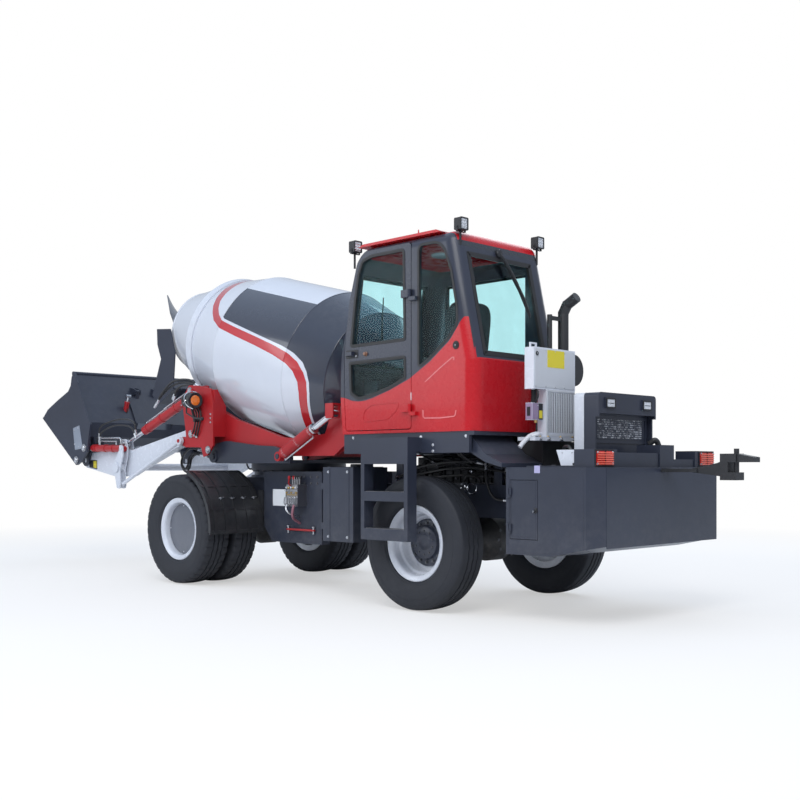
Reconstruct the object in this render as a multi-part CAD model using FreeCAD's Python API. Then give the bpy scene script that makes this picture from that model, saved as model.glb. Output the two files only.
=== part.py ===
"""Self-loading concrete mixer: articulated carrier, slewing and tilting drum, loading bucket.

Millimetres. +X points ahead, towards the bucket, +Y to the machine's left and +Z up. Everything is
laid out from the point on the ground under the rear axle, and moved by origin_ahead at the end, so
that the origin lies on the ground under the middle of the whole machine.
"""
import FreeCAD, Part
import math
import os

V = FreeCAD.Vector
UP = V(0, 0, 1)
LEFT = V(0, 1, 0)

# ---- layout -----------------------------------------------------------------------------------
origin_ahead = 1890            # ground origin, ahead of the rear axle
wheelbase = 3010
pivot_x = 1500                 # vertical articulation pin
slew_x = 2500                  # centre of the slewing ring
running_gap = 0.3              # faces that turn on each other
pin_gap = 0.05                 # radial clearance of a pin in its bore
swing_gap = 10                 # sideways clearance of parts that swing past each other

# ---- tyres and rims ---------------------------------------------------------------------------
tyre_radius = 527
tyre_width = 278
bead_radius = 254
flange_radius = 298
rim_width = 200
rim_wall = 14
rear_track_half = 819          # centre line of a single rear tyre
twin_inner_y = 649             # centre line of the inner front tyre
twin_spacing = 328
hub_radius = 190
spindle_radius = 45
axle_radius = 72
ball_radius = 185

# ---- rear frame -------------------------------------------------------------------------------
rail_y = 330
rail_width = 80
rail_bottom = 720
rail_top = 980
rail_rear_x = -860
rail_front_x = 1120
nose_plate = 40
nose_radius = 130
pivot_pin_radius = 50
lug_bottom = 620
lug_top = 900

# ---- rear box (fuel and ballast) --------------------------------------------------------------
box_rear_x = -1660
box_front_x = -860
box_half_width = 850
box_top = 1120
box_bottom = 490
box_tail_bottom = 575
box_chamfer = 98
locker_front_x = -895
locker_rear_x = -1150
locker_bottom = 600
locker_top = 1030
locker_depth = 300
door_sheet = 22
deck_plate = 12

# ---- engine and hood --------------------------------------------------------------------------
hood_half_width = 385
hood_rear_x = -1345
hood_front_x = -1130
hood_top = 1670
hood_split_x = -1215
hood_wall = 16

# ---- cab --------------------------------------------------------------------------------------
cab_left = 960
cab_right = -80
cab_rear_x = -655
cab_eaves_rear_x = -468
cab_front_x = 812
cab_floor = 1390
cab_waist = 1925
cab_eaves = 2800
cab_top = 2908
cab_wall = 40
cab_corner = 100
roof_top = 2930
glass_sheet = 6
door_gap = 6
hinge_pin_radius = 8

# ---- front frame and slewing base -------------------------------------------------------------
front_frame_rear_x = 1580
front_frame_nose_x = 3480
front_frame_half = 400
front_side_half = 500
front_frame_bottom = 415
front_frame_top = 1020
ring_radius = 470
ring_top = 1090
base_bottom = 1157
base_plate_y = 610
base_plate = 40
tilt_pin = (3030, 1227)
tilt_foot = (1930, 1219)
tilt_head = (1200, 1588)
tilt_cylinder_y = 705

# ---- cradle -----------------------------------------------------------------------------------
beam_y = 550
beam_width = 50
tower_inner_y = 600
tower_plate = 20
arm_y = 630
arm_width = 90
arm_pivot = (3222, 1461)
lift_head = (3250, 1875)
nose_pin = (3430, 1385)

# ---- drum -------------------------------------------------------------------------------------
drum_tilt = 14.33
mouth = (4096, 2607)
drum_wall = 12
drum_stations = ((0, 427), (678, 642), (1256, 760), (2344, 760), (2800, 639), (3000, 400))
track_station = 678
track_width = 90
track_height = 24
flange_r = 160
flange_length = 60
blade_reach = 470
roller_radius = 80
roller_angle = 30

# ---- steering cylinders -------------------------------------------------------------------------
steer_foot = (930, 250, 800)
steer_head = (1760, 260, 800)
steer_pin_radius = 18

# ---- arms and bucket --------------------------------------------------------------------------
link_y = 780
eye_width = 36
bucket_pivot = (5370, 1195)
bracket_pivot = (4587, 1119)
link_foot = (4540, 928)
cross_radius = 38
bucket_cylinder_foot = (4500, 1318)
bucket_cylinder_head = (5200, 1335)
lift_foot = (4600, 1380)
bucket_half_width = 860
bucket_side = 25
bucket_sheet = 20
gate_half_width = 230


# ---- shapes -----------------------------------------------------------------------------------
def box(x0, x1, y0, y1, z0, z1):
    return Part.makeBox(x1 - x0, y1 - y0, z1 - z0, V(x0, y0, z0))


def rod(start, end, radius):
    """Round bar from one point to another."""
    along = V(*end) - V(*start)
    return Part.makeCylinder(radius, along.Length, V(*start), along)


def pin_y(at, radius, y0, y1):
    """Round bar along Y, centred on an (x, z) place."""
    return rod((at[0], y0, at[1]), (at[0], y1, at[1]), radius)


def pin_z(x, y, radius, z0, z1):
    return rod((x, y, z0), (x, y, z1), radius)


def corner_points(points, index):
    """Where the rounding of one corner starts, its middle, and where it ends."""
    here = points[index]
    radius = here[2] if len(here) > 2 else 0
    at = V(here[0], here[1], 0)
    if radius <= 0:
        return [at]
    before = V(points[index - 1][0], points[index - 1][1], 0) - at
    after = V(points[(index + 1) % len(points)][0], points[(index + 1) % len(points)][1], 0) - at
    before.normalize()
    after.normalize()
    half = before.getAngle(after) / 2
    bisector = before + after
    bisector.normalize()
    back = radius / math.tan(half)
    centre = at + bisector * (radius / math.sin(half))
    return [at + before * back, centre - bisector * radius, at + after * back]


def outline(points, place):
    """Closed wire through (u, v) or (u, v, corner radius) points, put in space by place(u, v)."""
    stops = [[place(p.x, p.y) for p in corner_points(points, i)] for i in range(len(points))]
    edges = []
    for i, stop in enumerate(stops):
        if len(stop) == 3:
            edges.append(Part.Arc(*stop).toShape())
        following = stops[(i + 1) % len(stops)][0]
        if (following - stop[-1]).Length > 1e-6:
            edges.append(Part.LineSegment(stop[-1], following).toShape())
    return Part.Wire(edges)


def plate_y(points, y0, y1):
    """Plate with an (x, z) outline, between two Y values."""
    face = Part.Face(outline(points, lambda u, v: V(u, y0, v)))
    return face.extrude(V(0, y1 - y0, 0))


def plate_x(points, x0, x1):
    """Plate with a (y, z) outline, between two X values."""
    face = Part.Face(outline(points, lambda u, v: V(x0, u, v)))
    return face.extrude(V(x1 - x0, 0, 0))


def plate_z(points, z0, z1):
    """Plate with an (x, y) outline, between two heights."""
    face = Part.Face(outline(points, lambda u, v: V(u, v, z0)))
    return face.extrude(V(0, 0, z1 - z0))


def turned(points, centre, axis, radial):
    """Solid of revolution from (radius, along) points about an axis through centre."""
    wire = outline(points, lambda r, a: centre + axis * a + radial * r)
    return Part.Face(wire).revolve(centre, axis, 360)


def fuse(shapes):
    whole = shapes[0].multiFuse(shapes[1:]) if len(shapes) > 1 else shapes[0]
    return whole.removeSplitter()


def cut(shape, *tools):
    for tool in tools:
        shape = shape.cut(tool)
    return shape


def right(shape):
    """The same piece on the machine's right side."""
    return shape.mirror(V(0, 0, 0), LEFT)


def pair(shape):
    return fuse([shape, right(shape)])


def two(shape):
    """Left and right pieces that don't touch."""
    return Part.makeCompound([shape, right(shape)])


# ---- wheels -----------------------------------------------------------------------------------
def tyre(x, y):
    """Plain carcass, from bead to crown."""
    half = tyre_width / 2
    seat = rim_width / 2 - rim_wall
    side = [(bead_radius + running_gap, seat - running_gap), (flange_radius + 4, seat - running_gap),
            (flange_radius + 4, rim_width / 2 + 6),
            (bead_radius + 0.48 * (tyre_radius - bead_radius), half),
            (bead_radius + 0.68 * (tyre_radius - bead_radius), half),
            (tyre_radius - 20, half - 22), (tyre_radius, half - 62)]
    ring = side + [(r, -a) for r, a in reversed(side)]
    return turned(ring, V(x, y, tyre_radius), LEFT, V(1, 0, 0))


def rim_ring(x, y):
    """Barrel and its two flanges, open in the middle."""
    half = rim_width / 2
    seat = half - rim_wall
    inner = bead_radius - rim_wall
    profile = [(inner, -half), (flange_radius, -half), (flange_radius, -seat),
               (bead_radius, -seat), (bead_radius, seat), (flange_radius, seat),
               (flange_radius, half), (inner, half)]
    return turned(profile, V(x, y, tyre_radius), LEFT, V(1, 0, 0))


def wheel_disc(x, y0, y1, outer, inner=0):
    disc = pin_y((x, tyre_radius), outer, y0, y1)
    return disc.cut(pin_y((x, tyre_radius), inner, y0 - 1, y1 + 1)) if inner else disc


spindle_end_y = 785
hub_face = 45                  # hub's outer face, in from the single tyre's centre line
hub_back = 100
disc_inset = 60
disc_sheet = 14
cover_inset = 40


def rear_wheel():
    y = rear_track_half
    inner = bead_radius - rim_wall
    disc = wheel_disc(0, y - disc_inset - disc_sheet, y - disc_inset, inner + 1)
    hub = wheel_disc(0, y - hub_back, y - 8, hub_radius)
    bore = pin_y((0, tyre_radius), spindle_radius + pin_gap, y - hub_back - 1, spindle_end_y + 1)
    return cut(fuse([rim_ring(0, y), disc, hub]), bore)


def front_wheel():
    inner_y = twin_inner_y
    outer_y = twin_inner_y + twin_spacing
    inner = bead_radius - rim_wall
    hub = wheel_disc(wheelbase, inner_y - 60, outer_y - disc_inset, hub_radius)
    discs = [wheel_disc(wheelbase, inner_y + disc_inset, inner_y + disc_inset + disc_sheet, inner + 1),
             wheel_disc(wheelbase, outer_y - disc_inset - disc_sheet, outer_y - disc_inset, inner + 1)]
    cover = wheel_disc(wheelbase, outer_y + cover_inset - 8, outer_y + cover_inset, inner + 1)
    post = wheel_disc(wheelbase, outer_y - disc_inset, outer_y + cover_inset - 8, 60)
    bore = pin_y((wheelbase, tyre_radius), spindle_radius + pin_gap, inner_y - 61, spindle_end_y + 1)
    rings = [rim_ring(wheelbase, inner_y), rim_ring(wheelbase, outer_y)]
    return cut(fuse(rings + discs + [hub, cover, post]), bore)


def axle(x, flange_y):
    """Beam with its differential ball, end flanges and spindles."""
    profile = [(0, -spindle_end_y), (spindle_radius, -spindle_end_y), (spindle_radius, -flange_y),
               (120, -flange_y), (120, -flange_y + 30), (axle_radius, -flange_y + 60),
               (axle_radius, -190), (ball_radius, -80), (ball_radius, 80), (axle_radius, 190),
               (axle_radius, flange_y - 60), (120, flange_y - 30), (120, flange_y),
               (spindle_radius, flange_y), (spindle_radius, spindle_end_y), (0, spindle_end_y)]
    return turned(profile, V(x, 0, tyre_radius), LEFT, V(1, 0, 0))


def rear_axle():
    pad = box(-70, 70, rail_y, rail_y + rail_width, tyre_radius, rail_bottom)
    return fuse([axle(0, 660), pad, right(pad)])


def front_axle():
    pad = box(wheelbase - 70, wheelbase + 70, 300, 360, tyre_radius, front_axle_seat)
    return fuse([axle(wheelbase, 530), pad, right(pad)])


front_axle_seat = tyre_radius + 188


# ---- rear carrier -----------------------------------------------------------------------------
def rear_frame():
    rail = box(rail_rear_x, rail_front_x, rail_y, rail_y + rail_width, rail_bottom, rail_top)
    parts = [rail, right(rail)]
    for x in (rail_rear_x, -420, 330, steer_foot[0] - 130):
        parts.append(box(x, x + 60, -rail_y, rail_y, rail_bottom + 30, rail_top - 30))
    wing = rail_y + rail_width
    nose = [(rail_front_x - 200, -wing), (rail_front_x, -wing), (pivot_x, -nose_radius, 60),
            (pivot_x + nose_radius, -nose_radius + 40, 60), (pivot_x + nose_radius, nose_radius - 40, 60),
            (pivot_x, nose_radius, 60), (rail_front_x, wing), (rail_front_x - 200, wing)]
    bore = pin_z(pivot_x, 0, pivot_pin_radius + pin_gap, 0, 2000)
    upper = plate_z(nose, lug_top + running_gap, lug_top + running_gap + nose_plate).cut(bore)
    lower = plate_z(nose, lug_bottom - nose_plate - running_gap, lug_bottom - running_gap).cut(bore)
    hang = box(rail_front_x - 200, rail_front_x - 60, rail_y, wing, lug_bottom - nose_plate, rail_bottom)
    parts += [upper, lower, hang, right(hang)]
    for z in (steer_foot[2] - 50, steer_foot[2] + 28):
        ear = box(steer_foot[0] - 75, steer_foot[0] + 24, steer_foot[1] - 40, steer_foot[1] + 40, z, z + 22)
        parts += [ear, right(ear)]
    steer_pin = pin_z(steer_foot[0], steer_foot[1], steer_pin_radius, steer_foot[2] - 50, steer_foot[2] + 50)
    parts += [steer_pin, right(steer_pin)]
    post_z = cab_floor - 160
    for x in (-450, 640):
        post = box(x, x + 80, rail_y + 10, rail_y + 70, rail_top, post_z)
        parts += [post, box(x, x + 80, -rail_y - 70, -rail_y - 10, rail_top, post_z)]
    return fuse(parts)


def articulation_pin():
    head = pin_z(pivot_x, 0, 75, lug_top + running_gap + nose_plate, lug_top + running_gap + nose_plate + 20)
    shank = pin_z(pivot_x, 0, pivot_pin_radius, lug_bottom - 60, lug_top + running_gap + nose_plate)
    return fuse([head, shank])


def rear_box():
    """Closed box with the chamfered rear corners, the locker's pocket and its hinge pins."""
    side = [(box_front_x, box_bottom), (box_front_x, box_top), (box_rear_x, box_top),
            (box_rear_x, box_tail_bottom), (box_front_x - 400, box_bottom)]
    body = plate_y(side, -box_half_width, box_half_width)
    for sign in (1, -1):
        corner = [(box_rear_x - 5, sign * (box_half_width + 5)),
                  (box_rear_x + box_chamfer, sign * (box_half_width + 5)),
                  (box_rear_x + box_chamfer, sign * box_half_width),
                  (box_rear_x, sign * (box_half_width - box_chamfer)),
                  (box_rear_x - 5, sign * (box_half_width - box_chamfer))]
        body = body.cut(plate_z(corner, 0, 2000))
    pocket = box(locker_rear_x, locker_front_x, box_half_width - locker_depth, box_half_width + 5,
                 locker_bottom, locker_top)
    tray = box(box_rear_x + 400, box_front_x + 1, -400, 400, box_bottom - 1, 700)
    return fuse([cut(body, pocket, tray)] + locker_hinge())


def locker_door():
    gap = 4
    y1 = box_half_width
    leaf = box(locker_rear_x + gap, locker_front_x - gap, y1 - door_sheet, y1,
               locker_bottom + gap, locker_top - gap)
    x = locker_front_x - gap - 6
    knuckles = [pin_z(x, y1 + 6, 10, z, z + 50) for z in (locker_bottom + 60, locker_top - 110)]
    bores = pin_z(x, y1 + 6, 5 + pin_gap, 0, 2000)
    latch = pin_y((locker_rear_x + 30, (locker_bottom + locker_top) / 2), 12, y1, y1 + 12)
    return cut(fuse([leaf, latch] + knuckles), bores)


def locker_hinge():
    """Two standing pins with their feet on the box, beside the locker."""
    gap = 4
    x = locker_front_x - gap - 6
    parts = []
    for z in (locker_bottom + 60, locker_top - 110):
        shank = pin_z(x, box_half_width + 6, 5, z - 20, z + 50)
        foot = box(x, locker_front_x + 20, box_half_width + 1, box_half_width + 14, z - 20, z - running_gap)
        heel = box(locker_front_x + 2, locker_front_x + 20, box_half_width, box_half_width + 14, z - 20, z + 50)
        parts.append(fuse([shank, foot, heel]))
    return parts


def rear_deck():
    """Deck plates with the two lamp housings and the block between them."""
    housing = box(-1600, -1430, 530, 805, box_top, box_top + 125)
    shelf = box(-1430, -1000, 500, 790, box_top, box_top + deck_plate)
    middle = box(-1590, -1355, -230, 530, box_top, box_top + 104)
    riser = box(-1600, -1400, -224, -29, box_top, box_top + 165)
    far_middle = box(-1590, -1430, -530, -224, box_top, box_top + 60)
    return fuse([housing, right(housing), shelf, right(shelf), middle, riser, far_middle])


def tail_lamps():
    return two(box(-1612, -1600, 595, 790, box_top + 15, box_top + 112))


def tow_coupling():
    """Drawbar plate, jaw and bail on the centre line."""
    bar = box(-1950, box_rear_x, -60, 60, box_top - 35, box_top - 10)
    neck = plate_y([(-1900, box_top - 10), (-2100, box_top + 30), (-2180, box_top + 60),
                    (-2180, box_top - 70), (-2100, box_top - 60), (-1900, box_top - 35)], -45, 45)
    jaw = box(-2250, -2130, -60, 60, box_top - 90, box_top + 95)
    throat = box(-2260, -2190, -70, 70, box_top - 35, box_top + 35)
    tongue = plate_y([(-2240, box_top + 95), (-2376, box_top + 70), (-2376, box_top + 35),
                      (-2240, box_top + 35)], -45, 45)
    pin = pin_z(-2225, 0, 18, box_top - 90, box_top + 130)
    return fuse([bar, neck, cut(jaw, throat), tongue, pin])


def engine_block():
    outer = rail_y + rail_width
    return Part.makeCompound([box(hood_front_x + 20, -975, -240, 110, box_top, 1560),
                              box(box_front_x, -620, -outer, outer, rail_top, 1318)])


def hood_shell(x0, x1):
    outer = [(-hood_half_width, box_top), (-hood_half_width, hood_top, 30),
             (hood_half_width, hood_top, 30), (hood_half_width, box_top)]
    inside = hood_half_width - hood_wall
    inner = [(-inside, box_top - 10), (-inside, hood_top - hood_wall), (inside, hood_top - hood_wall),
             (inside, box_top - 10)]
    return plate_x(outer, x0, x1).cut(plate_x(inner, x0 - 1, x1 + 1))


def hood():
    front_sheet = box(hood_front_x - hood_wall, hood_front_x, -hood_half_width + 5, hood_half_width - 5,
                      box_top + 60, hood_top - 20)
    return fuse([hood_shell(hood_split_x, hood_front_x), front_sheet])


def hood_tail():
    """Dark rear end of the hood: visor with two square lamps over a recessed, perforated panel."""
    ring = hood_shell(hood_rear_x, hood_split_x - 1)
    inside = hood_half_width - hood_wall
    visor_z = hood_top - 155
    visor = plate_y([(hood_rear_x, hood_top - hood_wall + 1), (hood_rear_x, visor_z), (hood_rear_x + 100, visor_z),
                     (hood_rear_x + 100, hood_top - hood_wall + 1)], -inside - 1, inside + 1)
    panel = box(hood_rear_x + 70, hood_rear_x + 82, -inside - 1, inside + 1, box_top + 50, visor_z + 10)
    sill = box(hood_rear_x, hood_rear_x + 90, -inside - 1, inside + 1, box_top, box_top + 62)
    ring_cut = box(hood_rear_x - 1, hood_rear_x + 30, -hood_half_width - 1, hood_half_width + 1,
                   box_top + 90, visor_z - 25)
    lamps = [box(hood_rear_x - 10, hood_rear_x, y - 62, y + 62, hood_top - 118, hood_top - 38)
             for y in (245, -245)]
    return fuse([cut(ring, ring_cut), visor, panel, sill] + lamps)


def oil_cooler():
    """Finned cooler on its tray, the wider box above it with its handle, and the relay box under it."""
    core = box(-950, -870, 134, 490, 1345, 1700)
    for i in range(15):
        y = 150 + 22 * i
        core = core.cut(box(-960, -930, y, y + 10, 1380, 1680))
    upper = box(-950, -865, 128, 640, 1700, 2010)
    handle = fuse([box(-914, -902, 555, 567, 2010, 2046), box(-914, -902, 622, 634, 2010, 2046),
                   box(-914, -902, 555, 634, 2034, 2046)])
    tray = box(-965, -800, 120, 640, 1318, 1345)
    stub = pin_z(-900, 575, 20, 1590, 1710)
    relay_box = box(-930, -870, 505, 635, 1470, 1598)
    return fuse([core, upper, handle, tray, stub, relay_box])


stack_x = -745
stack_radius = 42


def exhaust():
    """Stack with its bent tail and clamp post, and the air cleaner beside it."""
    stack = pin_z(stack_x, 0, stack_radius, 1318, 2350)
    lean = rod((stack_x, 0, 2335), (stack_x - 45, 0, 2412), stack_radius)
    tip = rod((stack_x - 38, 0, 2398), (stack_x - 130, 0, 2450), stack_radius)
    cleaner = rod((-693, -217, 1902), (-400, -217, 1902), 128)
    saddle = box(-465, -405, -255, -180, cab_floor, 1790)
    flange = pin_z(stack_x, 0, stack_radius + 22, 1318, 1335)
    post = pin_z(stack_x + 5, 170, 20, 1318, 2310)
    clamp = box(stack_x - 12, stack_x + 12, 0, 185, 2270, 2300)
    return fuse([stack, lean, tip, cleaner, saddle, flange, post, clamp])


# Side view of the cab: (x, z, corner radius)
cab_outline = [(cab_rear_x + 8, cab_floor), (cab_front_x - 25, cab_floor), (cab_front_x, 1680),
               (cab_front_x, 2060), (750, 2480), (640, cab_top, 190), (cab_eaves_rear_x + 25, cab_top, 85),
               (cab_eaves_rear_x, cab_eaves), (cab_rear_x, cab_waist)]


def cab_block(inset, bottom, top):
    """The cab's outside, moved inwards by inset, between two heights."""
    block = plate_y(grown(cab_outline, -inset), cab_right + inset, cab_left - inset)
    climbing = [e for e in block.Edges if e.BoundBox.YLength < 1 and e.BoundBox.ZLength > 5
                and e.BoundBox.ZMax < cab_eaves + 60 and e.BoundBox.XMin < cab_rear_x + 300]
    block = block.makeFillet(cab_corner - inset, climbing)
    return block.common(box(-2000, 2000, -1000, 2000, bottom, top))


door_outline = [(0, 1420, 25), (745, 1420, 25), (765, 1700), (765, 2060), (705, 2480), (610, 2790, 120),
                (520, 2866, 60), (0, 2866, 30)]
upper_light = [(62, 2115, 20), (690, 2107, 20), (640, 2480), (600, 2690, 60), (550, 2795, 60),
               (440, 2822, 60), (75, 2822, 30)]
lower_light = [(62, 1985, 20), (62, 1815, 20), (240, 1745, 200), (470, 1690, 200), (600, 1675, 60),
               (690, 1720, 50), (702, 1975, 20)]
quarter_light = [(-78, 2835, 50), (-330, 2835, 150), (-425, 2600), (-482, 2320, 60), (-486, 2190, 60),
                 (-400, 2092, 60), (-203, 1952), (-78, 1885, 20)]
red_edge = [(900, 1710), (760, 1690), (650, 1655, 150), (520, 1658, 150), (231, 1731), (21, 1806),
            (-203, 1927), (-409, 2074, 200), (-520, 2215, 60), (-540, 2240)]


def grown(points, by):
    """Outline moved outwards by a distance, corner by corner."""
    out = []
    count = len(points)
    for i, point in enumerate(points):
        before = V(points[i - 1][0], points[i - 1][1], 0)
        here = V(point[0], point[1], 0)
        after = V(points[(i + 1) % count][0], points[(i + 1) % count][1], 0)
        a = here - before
        b = after - here
        a.normalize()
        b.normalize()
        na = V(a.y, -a.x, 0)
        nb = V(b.y, -b.x, 0)
        mean = na + nb
        mean.normalize()
        moved = here + mean * (by / mean.dot(na))
        radius = point[2] + by if len(point) > 2 else 0
        out.append((moved.x, moved.y, max(radius, 0)))
    return out


front_light = (70, 840, 1960, 2700)
far_light = (-330, 560, 1960, 2700)
rear_light = (85, 850, 1955, 2745)
side_frame = 45                # depth of the near side's frame, which the roof lies beside


def cab_openings():
    doorway = plate_y(grown(door_outline, door_gap), cab_left - 200, cab_left + 100)
    quarter = plate_y(quarter_light, cab_left - 200, cab_left + 100)
    front = box(cab_front_x - 400, cab_front_x + 200, front_light[0], front_light[1],
                front_light[2], front_light[3])
    far = box(far_light[0], far_light[1], cab_right - 100, cab_right + 200, far_light[2], far_light[3])
    rear = box(cab_rear_x - 200, cab_rear_x + 400, rear_light[0], rear_light[1],
               rear_light[2], rear_light[3])
    return [doorway, quarter, front, far, rear]


def cab_shell():
    room = cab_block(cab_wall, cab_floor + cab_wall, cab_top - 45)
    return cut(cab_block(0, cab_floor, cab_top + 1), room, *cab_openings())


def red_zone():
    """Everything under the waist, and on the door's side everything under a sweeping edge."""
    frame_y = cab_left - side_frame
    low = box(-2000, 2000, -1000, frame_y, 0, cab_waist + 8)
    side = red_edge + [(-900, 2240), (-900, 1000), (900, 1000)]
    return [low, plate_y(side, frame_y, cab_left + 100)]


def roof_zone():
    return box(-2000, 2000, -1000, cab_left - side_frame, cab_eaves - 15, 4000)


def hinge_heights():
    return (1550, 2440)


hinge_y = cab_left + 20
hinge_x = door_outline[0][0] - 2


def cab_hinges():
    """Standing pins for the door, each on a foot that is part of the pillar."""
    parts = []
    for z in hinge_heights():
        parts.append(pin_z(hinge_x, hinge_y, hinge_pin_radius, z - 30, z + 60))
        parts.append(box(hinge_x - 70, hinge_x, cab_left - 5, hinge_y + 12, z - 30, z - running_gap))
    return parts


def doorway():
    return plate_y(grown(door_outline, door_gap), cab_left - 200, cab_left)


def cab_lower():
    shell = cab_shell()
    low_feet = [cut(p, doorway()) for p in cab_hinges() if p.BoundBox.ZMax < cab_waist]
    return fuse([shell.common(zone) for zone in red_zone()] + low_feet)


def cab_pillars():
    high_feet = [cut(p, doorway()) for p in cab_hinges() if p.BoundBox.ZMax > cab_waist]
    return fuse([cut(cab_shell(), roof_zone(), *red_zone())] + high_feet)


def cab_roof():
    """Red skin between the side frames, with its crown just above them."""
    skin = cab_shell().common(roof_zone())
    crown = plate_y([(cab_eaves_rear_x + 160, cab_top - 1), (cab_eaves_rear_x + 215, roof_top, 20),
                     (560, roof_top, 60), (610, cab_top - 1)], cab_right + 60, cab_left - 12)
    crown = crown.cut(box(-2000, 2000, cab_left - side_frame, cab_left, 0, cab_top))
    return fuse([skin, crown])


def leaning_pane(foot, head, y0, y1):
    """Sheet between two (x, z) places."""
    t = glass_sheet
    return plate_y([foot, (foot[0] + t, foot[1]), (head[0] + t, head[1]), head], y0, y1)


def wall_at(corners, z, inward):
    """(x, z) on the straight wall between two corners of the side view, moved inwards."""
    (xa, za), (xb, zb) = corners
    return (xa + (xb - xa) * (z - za) / (zb - za) + inward, z)


def cab_glass():
    """Fixed panes, each in the middle of its wall."""
    mid = cab_wall / 2
    rear_wall = ((cab_rear_x, cab_waist), (cab_eaves_rear_x, cab_eaves))
    rear = leaning_pane(wall_at(rear_wall, rear_light[2], mid), wall_at(rear_wall, rear_light[3], mid),
                        rear_light[0], rear_light[1])
    low_wall = ((cab_front_x, 2060), (750, 2480))
    high_wall = ((750, 2480), (640, cab_top))
    z0, z1 = front_light[2], front_light[3]
    y0, y1 = front_light[0], front_light[1]
    back = -mid - glass_sheet
    front = fuse([leaning_pane((cab_front_x + back, z0), (cab_front_x + back, 2060), y0, y1),
                  leaning_pane((cab_front_x + back, 2060), wall_at(low_wall, 2480, back), y0, y1),
                  leaning_pane(wall_at(high_wall, 2480, back), wall_at(high_wall, z1, back), y0, y1)])
    far = box(far_light[0], far_light[1], cab_right + mid, cab_right + mid + glass_sheet,
              far_light[2], far_light[3])
    quarter = plate_y(quarter_light, cab_left - mid, cab_left - mid + glass_sheet)
    return Part.makeCompound([front, rear, far, quarter])


def cab_door():
    leaf = plate_y(door_outline, cab_left - cab_wall, cab_left)
    upper = plate_y(upper_light, cab_left - 100, cab_left + 50)
    lower = plate_y(lower_light, cab_left - 100, cab_left + 50)
    leaf = cut(leaf, upper, lower)
    parts = [leaf]
    for z in hinge_heights():
        parts.append(pin_z(hinge_x, hinge_y, hinge_pin_radius + 8, z, z + 60))
        parts.append(box(hinge_x, hinge_x + 90, cab_left - 1, hinge_y + 4, z, z + 60))
    handle = box(640, 720, cab_left, cab_left + 40, 2030, 2062)
    bores = [pin_z(hinge_x, hinge_y, hinge_pin_radius + pin_gap, z - 1, z + 61) for z in hinge_heights()]
    return cut(fuse(parts + [handle]), *bores)


def door_glass():
    y = cab_left - cab_wall / 2
    return Part.makeCompound([plate_y(upper_light, y, y + glass_sheet), plate_y(lower_light, y, y + glass_sheet)])


def driver_seat():
    pedestal = box(-60, 200, 300, 560, cab_floor + cab_wall, 1700)
    cushion = box(-130, 330, 200, 680, 1700, 1830)
    back = plate_y([(-130, 1780), (-20, 1780), (-60, 2440, 60), (-190, 2440, 60)], 210, 670)
    return fuse([pedestal, cushion, back])


def controls():
    """Console with the steering column and wheel, and the lever box beside the seat."""
    column = rod((590, 440, cab_floor + 80), (470, 440, 2020), 32)
    wheel = Part.makeTorus(185, 14, V(465, 440, 2035), V(-0.25, 0, 1))
    spokes = fuse([rod((465, 255, 2035), (465, 625, 2035), 10), rod((465, 440, 2035), (460, 440, 2010), 30)])
    dash = box(560, 720, 80, 780, cab_floor + cab_wall, 1830)
    levers = box(-60, 260, 80, 180, cab_floor + cab_wall, 1880)
    return fuse([column, wheel, spokes, dash, levers])


def cab_platform():
    """Dark skirt that carries the cab, and the arched deck behind it."""
    tray = box(-640, 780, cab_right - 20, cab_left - 10, cab_floor - 30, cab_floor)
    left_skirt = box(-590, 780, cab_left - 40, cab_left - 10, cab_floor - 160, cab_floor - 30)
    front_skirt = box(750, 780, cab_right - 20, cab_left - 40, cab_floor - 160, cab_floor - 30)
    right_skirt = box(-470, 780, -rail_y - 70, -rail_y - 30, cab_floor - 160, cab_floor - 30)
    shelf = box(-470, 780, -rail_y - 70, cab_right - 20, cab_floor - 30, cab_floor)
    lower = box(-470, 780, -rail_y - 70, cab_left - 40, cab_floor - 160, cab_floor - 130)
    arch = plate_y([(-440, cab_floor - 158), (-440, cab_floor - 15), (-560, cab_floor - 30),
                    (-700, box_top + 100), (-860, box_top + 30), (-860, box_top), (-700, box_top + 40),
                    (-560, cab_floor - 160)], 420, cab_left - 60)
    return fuse([tray, left_skirt, front_skirt, right_skirt, shelf, lower, arch])


ladder_y = (1000, 1100)


def step_ladder():
    y0, y1 = ladder_y
    frame = box(-100, 420, y0, y1, 550, cab_floor - 40)
    for z in (640, 930):
        frame = frame.cut(box(-60, 380, y0 - 1, y1 + 1, z, z + 215))
    hanger = box(-100, 420, cab_left - 10, y0, cab_floor - 150, cab_floor - 40)
    return fuse([frame, hanger])


def side_tank():
    """Tank with its two strap lugs."""
    tank = box(780, 1160, rail_y + rail_width + 40, 850, box_bottom, box_top)
    stay = box(820, 900, rail_y + rail_width, rail_y + rail_width + 40, 760, 860)
    other = box(1020, 1100, rail_y + rail_width, rail_y + rail_width + 40, 760, 860)
    lugs = [box(1160, 1195, 700, 850, z, z + 55) for z in (590, 930)]
    return fuse([tank, stay, other] + lugs)


def far_tank():
    tank = box(780, 1120, -850, -rail_y - rail_width - 40, box_bottom + 60, box_top - 60)
    stay = box(860, 1040, -rail_y - rail_width - 40, -rail_y - rail_width, 760, 860)
    return fuse([tank, stay])


def work_lamps():
    """Three lamps on stalks at the roof's corners."""
    roof = cab_roof()
    pillars = cab_pillars()
    solids = []
    for x, y, z in ((-455, 895, 2900), (-470, -15, 2885), (690, 915, 2885)):
        stalk = pin_z(x, y, 9, z - 130, z + 10)
        head = box(x - 35, x + 25, y - 42, y + 42, z, z + 90)
        whole = cut(fuse([stalk, head]), roof, pillars)
        solids.append(max(whole.Solids, key=lambda piece: piece.Volume))
    return Part.makeCompound(solids)


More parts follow.
